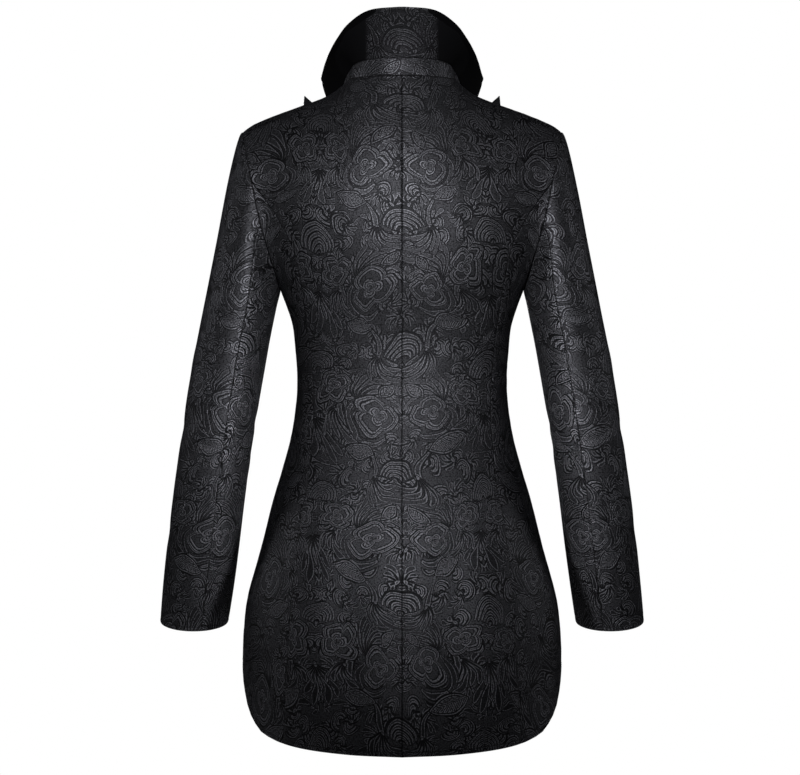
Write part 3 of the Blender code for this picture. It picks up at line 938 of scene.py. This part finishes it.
def collar_strip(part, count):
    """Rows of the stand or of the fall, from its lower seam up."""
    stations = [mix(-COLLAR_STATIONS, COLLAR_STATIONS, t) for t in shares(COLLAR_LENGTH, 4.4)]
    strips = []
    for station in stations:
        neck, seam, belly, edge = collar_section(station)
        if part == "stand":
            up = (seam - neck).normalized()
            strips.append([mix(neck + up * SEAM_GAP, seam - up * SEAM_GAP / 2, t) for t in count])
        else:
            low = seam + (belly - seam).normalized() * SEAM_GAP / 2
            strips.append([bezier(low, low.lerp(belly, 0.66), edge.lerp(belly, 0.66), edge, t)
                           for t in count])
    return [list(row) for row in zip(*strips)]


def centred(places):
    """Measures a collar's rows from the centre back instead of from one end."""
    return [[[along - line[-1][0] / 2, up] for along, up in line] for line in places]


for kind, height, pitch in (("stand", STAND_HEIGHT, 3.4), ("fall", FALL_HEIGHT, 3.6)):
    rows = collar_strip(kind, shares(height, pitch))
    cloth_piece("collar_" + kind, rows, grid_directions(rows),
                centred(flat_places(rows, 0)), kind)


def lapel_point(share, out, lap):
    """Share goes up the roll line, and out goes away from it."""
    level = mix(LAPEL_LEVEL, LAPEL_TOP, share) + LAPEL("lift", share) * out
    u = 1 - LAPEL("reach", share) * out
    surface = front_surface(lap)
    off = LAPEL_CLEAR + CLOTH + LAPEL("stand_off", share) * out ** 2
    return surface(u, level) + direction(surface, u, level) * off


for side, word in SIDES:
    rows = [[lapel_point(t, out, FRONT_LAPS[word]) for out in shares(LAPEL_WIDTH, 4)]
            for t in shares(LAPEL_LENGTH, 5)]
    ways = [[-way for way in line] for line in grid_directions(rows)]
    cloth_piece("lapel_" + word, rows, ways, flat_places(rows, 0), "lapel", side)
print("cloth pieces:", len(CLOTHS))

# %% [markdown]
# Brocade is a satin figure on a matt ground, black on black here, so the pattern shows
# only in how it shines and in the fine lines where one weave turns into the other. It
# is drawn with shader maths: each motif is a small function of its distance and angle
# from a middle. A class that wraps a socket lets that maths be written as expressions.

# %% Shader expressions
class Wire:
    """An output socket whose arithmetic adds Math nodes."""

    def __init__(self, finish, socket):
        self.finish, self.socket = finish, socket

    def math(self, operation, *others):
        return self.finish.sum(operation, self, *others)

    def __add__(self, other): return self.math("ADD", other)
    def __radd__(self, other): return self.math("ADD", other)
    def __sub__(self, other): return self.math("SUBTRACT", other)
    def __rsub__(self, other): return self.finish.sum("SUBTRACT", other, self)
    def __mul__(self, other): return self.math("MULTIPLY", other)
    def __truediv__(self, other): return self.math("DIVIDE", other)
    def __pow__(self, other): return self.math("POWER", other)
    def __neg__(self): return self.math("MULTIPLY", -1)
    def __abs__(self): return self.math("ABSOLUTE")


class Finish:
    """A material whose nodes are all added by one method."""

    def __init__(self, name):
        self.material = bpy.data.materials.new(name)
        self.material.use_nodes = True
        self.tree = self.material.node_tree
        self.tree.nodes.clear()

    def add(self, kind, settings=None, inputs=None, out=0):
        node = self.tree.nodes.new(kind)
        for name, value in (settings or {}).items():
            setattr(node, name, value)
        for name, value in (inputs or {}).items():
            if isinstance(value, Wire):
                self.tree.links.new(value.socket, node.inputs[name])
            else:
                node.inputs[name].default_value = value
        return Wire(self, node.outputs[out]) if node.outputs else None

    def parts(self, vector, count=2):
        """The first parts of a vector."""
        first = self.add("ShaderNodeSeparateXYZ", None, {0: vector})
        return [Wire(self, first.socket.node.outputs[k]) for k in range(count)]

    def ramp(self, value, stops):
        """A grey level that follows stops of place and level."""
        level = self.add("ShaderNodeValToRGB", None, {"Fac": value})
        elements = level.socket.node.color_ramp.elements
        for k, (at, grey_level) in enumerate(stops):
            stop = elements[k] if k < 2 else elements.new(at)
            stop.position = at
            stop.color = (grey_level, grey_level, grey_level, 1)
        return level

    def sum(self, operation, *values):
        return self.add("ShaderNodeMath", {"operation": operation}, dict(enumerate(values)))

    def soft(self, value, low, high):
        """0 below low and 1 above high, with a soft step between."""
        return self.add("ShaderNodeMapRange", {"interpolation_type": "SMOOTHSTEP"},
                        {"Value": value, "From Min": low, "From Max": high})

    def stroke(self, distance, width):
        """A line where a distance is near zero."""
        return 1 - self.soft(abs(distance), width * 0.35, width)

    def blend(self, share, first, second):
        """A colour between two, by a share."""
        return self.add("ShaderNodeMix", {"data_type": "RGBA"},
                        {"Factor": share, 6: first, 7: second}, out=2)


def most(*values):
    """The greatest of several wires."""
    top = values[0]
    for value in values[1:]:
        top = top.math("MAXIMUM", value)
    return top


def least(*values):
    """The smallest of several wires."""
    low = values[0]
    for value in values[1:]:
        low = low.math("MINIMUM", value)
    return low


def grey(level):
    """A near-neutral colour, a little cool as the coat's black is."""
    return level, level * 1.01, level * 1.13, 1


print("a dark grey:", grey(0.03))

# %% [markdown]
# The motifs are the traditional ones of such a cloth: a lobed blossom with nested
# outlines, a fan of bent teardrop leaves, a crest of nested arcs and a veined pod.
# Each returns how far, in millimetres, a point lies inside its satin, and how far
# inside the whole place that it covers. Less than nought means outside.

# %% Motifs of the brocade
def polar(x, y):
    return (x * x + y * y).math("SQRT"), y.math("ARCTAN2", x)


def cut(edge, distance, half):
    """Takes a thin line out of the satin, where a distance is near nought."""
    return least(edge, abs(distance) - half)


def blossom(x, y, size, lobes, turn):
    reach, angle = polar(x, y)
    twist = angle + turn + reach * 0.018
    petal = abs((twist * (lobes / 2)).math("COSINE"))
    depth = (petal ** 0.6 * 0.36 + (twist * (lobes * 2 + 1)).math("COSINE") * 0.03
             + 0.64) * size - reach
    heart = (abs((twist * 1.5 + 0.8).math("COSINE")) ** 0.7 * 0.26 + 0.2) * size - reach
    rings = most(least(depth, 3.2 - depth), least(depth - 4.7, 6.9 - depth))
    bud = cut(cut(heart, heart - 2.4, 0.5), heart - size * 0.22, 0.5)
    return most(rings, bud), depth + 1


def spray(x, y, turn, length, leaves, spread, bend):
    reach, angle = polar(x, y)
    angle = (angle - turn + reach * bend).math("WRAP", math.pi, -math.pi)
    step = spread / leaves
    leaf = abs(angle.math("WRAP", step / 2, -step / 2))
    vary = ((angle / step).math("ROUND") * 2.3 + turn * 5).math("SINE") * 0.2 + 0.8
    share = reach / ((vary - angle * angle * 0.14) * length)
    place = least((spread / 2 - abs(angle)) * reach, (1 - share) * length)
    half = ((least(share, 1) ** 2.1) * math.pi).math("SINE") ** 0.75 * (step * 0.43)
    return least(most((half - leaf) * reach, 3 - reach), place), place


def crest(x, y, turn, inner, outer, arc, pitch):
    reach, angle = polar(x, y)
    end = (angle - turn).math("WRAP", math.pi, -math.pi) / arc
    bow = end * end
    ring = reach * (1 + bow * 0.35 + end * 0.2)
    place = least(ring - inner, outer - ring, (1 - abs(end)) * reach * arc)
    wave = ((ring - inner) / pitch).math("PINGPONG", 0.5) - (bow * 0.22 + 0.13)
    return least(wave * pitch, place), place + 1


def vine(x, y, sway, height, phase, half):
    """A stem that winds up the cloth, with a swelling at each bend."""
    climb = y * (math.tau / height) + phase
    away = abs(x - climb.math("SINE") * sway)
    edge = (1 + abs(climb.math("SINE")) ** 4) * half - away
    return edge, edge + 1


def pod(x, y, turn, length, width):
    p = x * math.cos(turn) + y * math.sin(turn)
    q = abs(y * math.cos(turn) - x * math.sin(turn))
    share = p / (length / 2)
    depth = (1 - share * share) * (width / 2) - q
    veins = (p * 0.9 + q).math("PINGPONG", 2.3) - 0.5
    return cut(least(depth, most(veins, 2.2 - depth)), depth - 1.9, 0.5), depth + 1


def scrolls(cloth, along, up):
    """Small crests and bent fans that fill the cloth, one of each in a cell."""
    where = cloth.add("ShaderNodeCombineXYZ", None, {0: along, 1: up})
    middle = cloth.add("ShaderNodeTexVoronoi", {"voronoi_dimensions": "2D"}, {
        "Vector": where, "Scale": 1 / SCROLL_SIZE, "Randomness": 0.7}, out=2)
    chance, _ = cloth.parts(Wire(cloth, middle.socket.node.outputs[1]))
    x, y = cloth.parts(cloth.add("ShaderNodeVectorMath", {"operation": "SUBTRACT"},
                                 {0: where, 1: middle}))
    turn = chance * math.tau
    leaves, place = spray(x, y, turn, 24, 5, 2.9, 0.05)
    arcs, _ = crest(x, y, turn + 2.9, 3, 14, 1.3, 4.4)
    return most(leaves, least(arcs, -place))


# Where the motifs lie in one repeat, in millimetres from the centre back and down
# from the neck: the repeat is turned over at its sides, and the numbers after a place
# are those of the motif's own function. Later ones lie over earlier ones.
REPEAT_WIDTH, REPEAT_HEIGHT = 105, 157
SCROLL_SIZE = 28                        # spacing of the filling scrolls, millimetres
MOTIF_CLEAR = 0.8                       # ground left bare round a motif
MOTIFS = (
    (vine, 50, 100, 22, REPEAT_HEIGHT, 0.6, 1.5),
    (crest, 33, 82, -0.6, 29, 39, 1.3, 10.5),
    (spray, 0, 82, 1.57, 27, 5, 1.8, 0.0),
    (spray, 106, 77, -1.57, 62, 9, 2.2, 0.0),
    (crest, 0, 168, 1.57, 6, 27, 1.2, 5.2),
    (crest, 106, 187, 1.57, 6, 31, 1.35, 5.2),
    (spray, 48, 224, 1.25, 62, 6, 1.7, -0.024),
    (spray, 26, 158, -0.9, 46, 5, 1.7, 0.034),
    (spray, 74, 232, -0.5, 40, 4, 1.4, 0.03),
    (blossom, 33, 82, 26, 3, 2.6),
    (blossom, 80, 207, 21, 4, 0.3),
    (crest, 74, 152, 0.6, 2.5, 14, 1.9, 4.8),
    (pod, 57, 121, 0.38, 42, 20),
    (pod, 17, 204, -0.8, 27, 14),
)
print("motifs in one repeat:", len(MOTIFS))

# %% [markdown]
# Between the motifs small scrolls fill the cloth. A slight warp keeps two repeats from
# being quite alike, as the pull of making up does. Where a motif ends, a fine dark line
# runs outside of its edge and a painted highlight, a light line, inside, and the satin
# between them shines a little more than the ground. The satin is painted darker towards
# the tail, and the dark lines fainter down the upper middle of the back: painted shade
# and light. A fine twill and uneven yarns lie over everything.

# %% The brocade
def cloth_place(cloth):
    """Millimetres along and up the flat cloth."""
    uv = cloth.add("ShaderNodeUVMap", {"uv_map": "cloth"})
    return cloth.add("ShaderNodeVectorMath", {"operation": "SCALE"}, {0: uv, "Scale": 1 / MM})


def pulled(cloth, place, scale, amount):
    """Moves a place by a soft noise."""
    pull = cloth.add("ShaderNodeTexNoise", {"noise_dimensions": "2D"},
                     {"Vector": place, "Scale": scale, "Detail": 0.0}, out=1)
    either_way = cloth.add("ShaderNodeVectorMath", {"operation": "SUBTRACT"},
                           {0: pull, 1: (0.5, 0.5, 0.5)})
    return cloth.add("ShaderNodeVectorMath", {"operation": "MULTIPLY_ADD"},
                     {0: either_way, 1: (amount, amount, 0), 2: place})


def brocade_pattern(cloth, place):
    """How far a point lies inside the satin, in millimetres."""
    moved = pulled(cloth, pulled(cloth, place, 0.011, 30), 0.045, 6)
    along, up = cloth.parts(moved)
    along = along.math("PINGPONG", REPEAT_WIDTH)
    edge = scrolls(cloth, along, up)
    for motif, x, down, *sizes in MOTIFS:
        y = (up + (UNDERARM_Z + down)).math("WRAP", REPEAT_HEIGHT / 2, -REPEAT_HEIGHT / 2)
        inside, cover = motif(along - x, y, *sizes)
        edge = most(least(edge, -MOTIF_CLEAR - cover), inside)
    return edge


def woven(cloth, edge):
    """Satin, the painted highlight line just inside its edge, and the dark line outside."""
    return (cloth.soft(edge, -0.3, 0.4), cloth.stroke(edge - 0.55, 0.8),
            cloth.stroke(edge + 0.5, 0.85))


def twill(cloth, place):
    """The fine slanting ribs of the weave, and the uneven yarns."""
    along, up = cloth.parts(place)
    ribs = ((along + up * 0.8) * 5.4).math("SINE") * 0.5 + 0.5
    yarn = cloth.add("ShaderNodeTexNoise", {"noise_dimensions": "2D"},
                     {"Vector": place, "Scale": 0.55, "Detail": 2.0})
    return ribs, yarn


GRAZING = (0.15, 0.15, 0.16, 1)         # what black cloth sends back at a low angle


def shade(cloth, color, roughness, luster, height, depth, specular=0.2):
    """The shader of a cloth, from what varies over it."""
    bump = cloth.add("ShaderNodeBump", None,
                     {"Strength": 1.0, "Distance": depth * MM, "Height": height})
    shader = cloth.add("ShaderNodeBsdfPrincipled", None, {
        "Base Color": color, "Roughness": roughness, "Metallic": luster, "Normal": bump,
        "Specular IOR Level": specular, "Specular Tint": GRAZING})
    cloth.add("ShaderNodeOutputMaterial", None, {"Surface": shader})
    return cloth.material


# The low satin colour is painted shade: the satin is painted darker towards the tail.
GROUND, SATIN, SATIN_PAINTED_SHADE = grey(0.032), grey(0.036), grey(0.016)
# GLINT is a painted highlight: the light line where the raised edge of the satin catches the
# light.
GLINT, CUT, YARN_GAP, SEAM_PAINTED_SHADE = grey(0.12), grey(0.003), grey(0.006), grey(0.0015)


def painted_seam_shade(cloth, color, luster):
    """Paints shade into a cloth's colour in its seams and in the groove of its hem stitches."""
    seam, turned = cloth.parts(cloth.add("ShaderNodeUVMap", {"uv_map": "edge"}))
    line = most(1 - cloth.soft(seam / MM, 0.1, 0.8),
                cloth.stroke(turned / MM - HEM_STITCH, 0.9) * 0.9)
    return cloth.blend(line * 0.9, color, SEAM_PAINTED_SHADE), luster * (1 - line)


def brocade_layers(cloth, place):
    """Color, satin share and height of the brocade, with painted light and shade: the satin
    is painted darker towards the tail, and its dark lines fainter down the upper middle of
    the back, where the light falls."""
    satin, glint, dark = woven(cloth, brocade_pattern(cloth, place))
    ribs, yarn = twill(cloth, place)
    across, up = cloth.parts(place)
    # Painted light: 1 over the upper back, where the light falls, fading to 0 towards the tail;
    # the next mask narrows it to the middle.
    painted_light = cloth.soft(up, -380, -60)
    painted_light_middle = painted_light * (1 - cloth.soft(abs(across), 40, 150))
    color = cloth.blend(satin, GROUND, cloth.blend(painted_light, SATIN_PAINTED_SHADE, SATIN))
    color = cloth.blend(glint * 0.8, color, GLINT)
    color = cloth.blend(dark * (0.92 - painted_light_middle * 0.36), color, CUT)
    color = cloth.blend((yarn - 0.42) * 3.2, color, YARN_GAP)
    height = satin * 0.25 + glint * 0.4 - dark * 0.6 + ribs * 0.2 + yarn * 0.7
    return color, satin, height


def brocade():
    cloth = Finish("brocade")
    color, satin, height = brocade_layers(cloth, cloth_place(cloth))
    # Painted shade in the seams and in the groove of the hem stitches.
    color, luster = painted_seam_shade(cloth, color, 0.6 + satin * 0.05)
    return shade(cloth, color, 0.5 - satin * 0.03, luster, height, 0.26)


BROCADE = brocade()
print("brocade nodes:", len(BROCADE.node_tree.nodes))

# %% [markdown]
# The lapels are faced with a plain black cloth. On the fall the brocade keeps to the
# middle and is painted darker; the wings are faced with a plain cloth painted dark, and
# beyond a slanting line some way in from the edge, and at their forward ends, they are
# painted near black: painted shade where the collar turns away from the light. The wrong
# side of every panel is the plain back of the weave.

# %% Plain cloths
def plain(name, level, roughness, depth):
    cloth = Finish(name)
    place = cloth_place(cloth)
    ribs, yarn = twill(cloth, place)
    color = cloth.blend((yarn - 0.3) * 0.8, grey(level), grey(level * 0.45))
    return shade(cloth, color, roughness + yarn * 0.1, 0.1, ribs * 0.3 + yarn * 0.6, depth)


WRONG_SIDE = plain("cloth_wrong_side", 0.012, 0.7, 0.3)
FACING = plain("collar_facing", 0.006, 0.5, 0.25)

# Height over the neck, and how far out the fall's faced edge, painted near black as shade, starts
# there, in millimetres.
FACING_LINE = ((12, 60), (20, 65), (28, 73), (41, 81), (52, 82), (77, 69), (102, 32))
FACING_LOW, FACING_HIGH = FACING_LINE[0][0], FACING_LINE[-1][0]
# Painted shade: the dark grey of the collar's wings, and the near black past the slanting line.
WING_PAINTED_SHADE, FACING_PAINTED_SHADE = grey(0.006), grey(0.002)


def collar_cloth():
    cloth = Finish("collar_cloth")
    across, behind, up = cloth.parts(cloth.add("ShaderNodeTexCoord", out="Object"), 3)
    out = abs(across) / MM
    height = (up / MM - FACING_LOW) / (FACING_HIGH - FACING_LOW)
    line = cloth.ramp(height, [((z - FACING_LOW) / (FACING_HIGH - FACING_LOW), x / 100)
                               for z, x in FACING_LINE]) * 100
    facing_and_shade = most(cloth.soft(out - line, -0.7, 0.7), 1 - cloth.soft(behind / MM, -22, -20))
    middle = 1 - cloth.soft(out, 40, 46)
    color, satin, height = brocade_layers(cloth, cloth_place(cloth))
    # Painted shade: the brocade is painted darker, the wings plain and dark, and the band past
    # the line and the forward ends near black, where the collar turns away from the light.
    color = cloth.blend(0.55, color, WING_PAINTED_SHADE)
    color = cloth.blend(middle, WING_PAINTED_SHADE, color)
    color = cloth.blend(facing_and_shade, color, FACING_PAINTED_SHADE)
    height = height * middle - facing_and_shade * 0.6
    return shade(cloth, color, 0.5 - satin * middle * 0.06,
                 0.6 - facing_and_shade * 0.45, height, 0.3, 0.1)


COLLAR_CLOTH = collar_cloth()
for name, piece in CLOTHS.items():
    is_lapel = name.startswith("lapel")
    right = FACING if is_lapel else COLLAR_CLOTH if name == "collar_fall" else BROCADE
    piece.data.materials.append(right)
    piece.data.materials.append(WRONG_SIDE)
print("collar nodes:", len(COLLAR_CLOTH.node_tree.nodes))

# %% [markdown]
# The hem, the front edges and the cuffs are stitched down. A path runs a little way in
# from each edge, through the points of the cloth itself. Geometry Nodes set a short
# thread at every pitch along the path and turn it the way that the path runs.

# %% Paths of the stitches
def inset_path(name, edge, inset):
    """Points on the right side of a piece, an inset away from one of its edges."""
    rows, columns = GRIDS[name]
    points = [vert.co for vert in CLOTHS[name].data.vertices[:rows * columns]]
    path = []
    for k in range(rows if edge < 2 else columns):
        if edge < 2:
            line = [points[k * columns + c] for c in range(columns)]
        else:
            line = [points[r * columns + k] for r in range(rows)]
        if edge % 2:
            line.reverse()
        left = inset * MM
        for a, b in zip(line, line[1:]):
            if (b - a).length >= left:
                path.append(a + (b - a).normalized() * left)
                break
            left -= (b - a).length
    return path


STITCHED = [(f"{kind}_{word}", edge)
            for kind, edge in (("back", 2), ("side_back", 2), ("front", 2), ("front", 1),
                               ("top_sleeve", 3), ("under_sleeve", 3))
            for word in ("left", "right")]
stitch_lines = bpy.data.meshes.new("stitch_lines")
spots, joins = [], []
for name, edge in STITCHED:
    path = inset_path(name, edge, HEM_STITCH)
    joins += [(len(spots) + k, len(spots) + k + 1) for k in range(len(path) - 1)]
    spots += path
stitch_lines.from_pydata(spots, joins, [])
stitches = added("hem_stitches", stitch_lines)
print("stitched edges:", len(STITCHED), "with", len(spots), "points")

# %% [markdown]
# The thread is a twisted black cotton, a little brighter than the cloth. A wave texture
# gives its twist, which is enough at this size.

# %% Thread
def thread(name, level):
    cloth = Finish(name)
    spot = cloth.add("ShaderNodeTexCoord", out="Object")
    twist = cloth.add("ShaderNodeTexWave", {"bands_direction": "DIAGONAL"},
                      {"Vector": spot, "Scale": 900.0, "Distortion": 2.0}, out="Fac")
    color = cloth.blend(twist, grey(level * 0.5), grey(level))
    return shade(cloth, color, 0.55 - twist * 0.1, 0.2, twist, 0.08)


THREAD = thread("black_thread", 0.03)
print("thread nodes:", len(THREAD.node_tree.nodes))

# %% [markdown]
# There are some nine hundred stitches, so they are not modelled one by one. Geometry
# Nodes instance one small ball, drawn out to a stitch, on the points of the resampled
# path. The instances are made real at the end, because only real faces are exported.

# %% Stitches by Geometry Nodes
STITCH_PITCH, STITCH_RADII = 3.2, (0.3, 0.3, 1.15)
tree = bpy.data.node_groups.new("stitches", "GeometryNodeTree")
tree.interface.new_socket("Geometry", in_out="INPUT", socket_type="NodeSocketGeometry")
pitch_input = tree.interface.new_socket("Pitch", in_out="INPUT", socket_type="NodeSocketFloat")
size_input = tree.interface.new_socket("Stitch", in_out="INPUT", socket_type="NodeSocketVector")
tree.interface.new_socket("Geometry", in_out="OUTPUT", socket_type="NodeSocketGeometry")


def geometry_node(kind, inputs=None, **settings):
    node = tree.nodes.new(kind)
    for name, value in settings.items():
        setattr(node, name, value)
    for name, value in (inputs or {}).items():
        if isinstance(value, bpy.types.NodeSocket):
            tree.links.new(value, node.inputs[name])
        else:
            node.inputs[name].default_value = value
    return node


given = geometry_node("NodeGroupInput").outputs
curve = geometry_node("GeometryNodeMeshToCurve", {0: given["Geometry"]})
spaced = geometry_node("GeometryNodeResampleCurve",
                       {"Curve": curve.outputs[0], "Length": given["Pitch"]}, mode="LENGTH")
tangent = geometry_node("GeometryNodeInputTangent")
turn = geometry_node("FunctionNodeAlignRotationToVector",
                     {"Vector": tangent.outputs[0]}, axis="Z")
ball = geometry_node("GeometryNodeMeshUVSphere",
                     {"Segments": 6, "Rings": 4, "Radius": 1.0})
placed = geometry_node("GeometryNodeInstanceOnPoints", {
    "Points": spaced.outputs[0], "Instance": ball.outputs[0],
    "Rotation": turn.outputs[0], "Scale": given["Stitch"]})
real = geometry_node("GeometryNodeRealizeInstances", {0: placed.outputs[0]})
colored = geometry_node("GeometryNodeSetMaterial", {"Geometry": real.outputs[0],
                                                    "Material": THREAD})
geometry_node("NodeGroupOutput", {0: colored.outputs[0]})
maker = stitches.modifiers.new("stitches", "NODES")
maker.node_group = tree
maker[pitch_input.identifier] = STITCH_PITCH * MM
maker[size_input.identifier] = [size * MM for size in STITCH_RADII]


def made(piece):
    """Turns what a piece's modifiers make into its own plain mesh."""
    graph = bpy.context.evaluated_depsgraph_get()
    mesh = bpy.data.meshes.new_from_object(piece.evaluated_get(graph))
    piece.modifiers.clear()
    piece.data = mesh


made(stitches)
stitches.data.shade_smooth()
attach(stitches, "root")
print("faces of the stitches:", len(stitches.data.polygons))

# %% [markdown]
# Three horn buttons close the waist in front. Each is turned from a profile with a
# raised rim and a dished face, has four holes drilled through it, and is sewn on with
# two bars of thread.

# %% Buttons
BUTTON_THICKNESS, BUTTON_CLEAR = 3.5, 0.5
BUTTON_HEIGHTS = (-272, -316, -360)
# Radius and height of the profile, from the middle of the face round to the back's.
BUTTON_PROFILE = ((0, 2.1), (3.6, 2.1), (5.4, 2.5), (6.4, 3.2), (7.4, 3.5), (8.6, 3.4),
                  (9.6, 2.8), (10, 1.9), (9.8, 1.0), (9.0, 0.3), (8.2, 0), (0, 0))
HOLE_OFFSET, HOLE_RADIUS, DRILL_LENGTH = 2.0, 0.95, 8
# Across and height of a bar of thread, from hole to hole.
BAR = ((-2.0, -0.6), (-1.75, 0.55), (-1.1, 0.95), (0, 1.05), (1.1, 0.95), (1.75, 0.55),
       (2.0, -0.6))
THREAD_RADIUS, THREAD_APART, THREAD_SIDES = 0.3, 0.35, 6


def turned_button():
    """A button lying at the origin, face up; its four holes are drilled later."""
    bm = bmesh.new()
    outline = [bm.verts.new((radius * MM, 0, (z - BUTTON_THICKNESS / 2) * MM))
               for radius, z in BUTTON_PROFILE]
    edges = [bm.edges.new(pair) for pair in zip(outline, outline[1:])]
    bmesh.ops.spin(bm, geom=outline + edges, cent=(0, 0, 0), axis=(0, 0, 1),
                   angle=math.tau, steps=40)
    bmesh.ops.remove_doubles(bm, verts=bm.verts, dist=0.01 * MM)
    bmesh.ops.recalc_face_normals(bm, faces=bm.faces)
    return as_mesh(bm, "button_form")


def hole_cutters():
    bm = bmesh.new()
    for x in (-HOLE_OFFSET, HOLE_OFFSET):
        for y in (-HOLE_OFFSET, HOLE_OFFSET):
            drill = bmesh.ops.create_cone(bm, cap_ends=True, segments=14,
                                          depth=DRILL_LENGTH * MM,
                                          radius1=HOLE_RADIUS * MM, radius2=HOLE_RADIUS * MM)
            bmesh.ops.translate(bm, verts=drill["verts"], vec=(x * MM, y * MM, 0))
    return as_mesh(bm, "drills")


def thread_bars():
    """Two bars of double thread over the face, bent down into the holes."""
    bm = bmesh.new()
    turns = [math.tau * k / THREAD_SIDES for k in range(THREAD_SIDES)]
    for y in (-HOLE_OFFSET, HOLE_OFFSET):
        for apart in (-THREAD_APART, THREAD_APART):
            rings = [[bm.verts.new((x * MM, (y + apart + THREAD_RADIUS * math.cos(a)) * MM,
                                    (z + THREAD_RADIUS * math.sin(a)) * MM)) for a in turns]
                     for x, z in BAR]
            for low, high in zip(rings, rings[1:]):
                for k in range(THREAD_SIDES):
                    after = (k + 1) % THREAD_SIDES
                    bm.faces.new((low[k], low[after], high[after], high[k]))
    return as_mesh(bm, "thread_bars")


def horn():
    cloth = Finish("black_horn")
    spot = cloth.add("ShaderNodeTexCoord", out="Object")
    drawn = cloth.add("ShaderNodeVectorMath", {"operation": "MULTIPLY"},
                      {0: spot, 1: (160, 160, 900)})
    streaks = cloth.add("ShaderNodeTexNoise", None,
                        {"Vector": drawn, "Scale": 1.0, "Detail": 3.0})
    color = cloth.blend(streaks, grey(0.006), (0.020, 0.019, 0.018, 1))
    return shade(cloth, color, 0.26 + streaks * 0.16, 0.0, streaks, 0.06, 0.5)


HORN = horn()
CENTRE_FRONT = 90 / (90 + FRONT_LAP_TURN)
drills = added("drills", hole_cutters())
seats = []
for k, z in enumerate(BUTTON_HEIGHTS, 1):
    level = (z - HEM("z", 180)) / (UNDERARM_Z - HEM("z", 180)) - 1
    way = direction(front_point, CENTRE_FRONT, level)
    seat = front_point(CENTRE_FRONT, level, FRONT_LAPS["right"])
    seats.append([round(v) for v in seat])
    middle = (seat + way * (BUTTON_CLEAR + BUTTON_THICKNESS / 2)) * MM
    put = Matrix.Translation(middle) @ way.to_track_quat("Z", "Y").to_matrix().to_4x4()
    button = added(f"button_{k}_turned", turned_button())
    button.data.materials.append(HORN)
    drilled = button.modifiers.new("holes", "BOOLEAN")
    drilled.operation, drilled.object, drilled.solver = "DIFFERENCE", drills, "EXACT"
    made(button)
    button.data.transform(put)
    button.data.set_sharp_from_angle(angle=math.radians(40))
    bars = added(f"button_{k}_thread", thread_bars())
    bars.data.materials.append(THREAD)
    bars.data.transform(put)
    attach(button, "root")
    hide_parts(f"button_{k}")
    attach(bars, "root")
bpy.data.objects.remove(drills)
print("buttons at", seats)

# %% [markdown]
# The photo was taken from behind with a long lens, almost without perspective, and the
# coat is cut out on white. The camera looks level at its middle from far away. World
# light is dim, but what the camera sees of it is white.

# %% Camera
PIXEL = 1.23                            # millimetres of the coat to a pixel
FRAME_WIDE, FRAME_TALL = 800, 775
ORIGIN_ACROSS, ORIGIN_DOWN = 402, 97    # where the coat's origin lies in the photo
CAMERA_FAR = 12
camera = added("camera", bpy.data.cameras.new("camera"))
scene.camera = camera
scene.view_settings.view_transform = "Standard"
camera.location = ((ORIGIN_ACROSS - FRAME_WIDE / 2) * PIXEL * MM, CAMERA_FAR,
                   (ORIGIN_DOWN - FRAME_TALL / 2) * PIXEL * MM)
camera.rotation_euler = (math.radians(90), 0, math.radians(180))
camera.data.lens = camera.data.sensor_width * CAMERA_FAR / (FRAME_WIDE * PIXEL * MM)
camera.data.clip_end = 60
print(f"lens: {camera.data.lens:.0f} mm")

# %% [markdown]
# The cut-out photo has pure white round the coat, which a lit backdrop would not give
# without also lighting the black cloth. So the world tells camera rays from the rest.
# The floor is only there for views from above, and isn't part of the coat.

# %% World and floor
world = bpy.data.worlds.new("studio")
scene.world = world
world.use_nodes = True
nodes, links = world.node_tree.nodes, world.node_tree.links
path = nodes.new("ShaderNodeLightPath")
seen = nodes.new("ShaderNodeMix")
seen.data_type = "RGBA"
seen.inputs[6].default_value = (0.012, 0.012, 0.013, 1)
seen.inputs[7].default_value = (1, 1, 1, 1)
links.new(path.outputs["Is Camera Ray"], seen.inputs["Factor"])
links.new(seen.outputs[2], nodes["Background"].inputs["Color"])

bpy.ops.mesh.primitive_circle_add(vertices=96, radius=0.8, fill_type="NGON",
                                  location=(0, 0, -0.95))
floor = bpy.context.object
floor.name = "floor"
white = Finish("floor_white")
white.add("ShaderNodeOutputMaterial", None, {"Surface": white.add(
    "ShaderNodeBsdfPrincipled", None, {"Base Color": (0.85, 0.85, 0.85, 1), "Roughness": 0.8})})
floor.data.materials.append(white.material)
print("floor at", floor.location.z, "m")

# %% [markdown]
# The photo's light is soft and comes from the camera's side, a little from above: the
# middle of the back and the outer arms shine, the sides fall off to black. Each light is
# a disk that is turned to what it lights, and has a narrow spread, so that it stays off
# the rest.

# %% Lights
# Name, place, what it points at, width, power and the angle that it spreads over. The
# key and the two sleeve lights make the photo's bright bands, the others light the
# sides and the front for other views.
LIGHTS = (
    ("key", (0.03, 1.5, 0.12), (0, 0, -0.02), 0.3, 4.1, 68),
    ("left_sleeve", (0.85, 1.6, -0.45), (-0.36, 0, -0.47), 0.2, 0.75, 20),
    ("right_sleeve", (-0.85, 1.6, -0.45), (0.36, 0, -0.47), 0.2, 0.75, 20),
    ("front_key", (0.15, -2.0, 0.05), (0, 0, -0.28), 0.4, 9, 80),
    ("left_fill", (2.6, -0.8, 0.1), (0, 0, -0.3), 0.5, 1.4, 60),
    ("right_fill", (-2.6, -0.8, 0.1), (0, 0, -0.3), 0.5, 1.4, 60),
)
for name, place, target, size, power, spread in LIGHTS:
    lamp = bpy.data.lights.new(name, "AREA")
    lamp.shape = "DISK"
    lamp.size, lamp.energy, lamp.spread = size, power, math.radians(spread)
    light = added(name, lamp)
    light.location = place
    aim = Vector(target) - Vector(place)
    light.rotation_euler = aim.to_track_quat("-Z", "Y").to_euler()
print("lights:", len(LIGHTS))
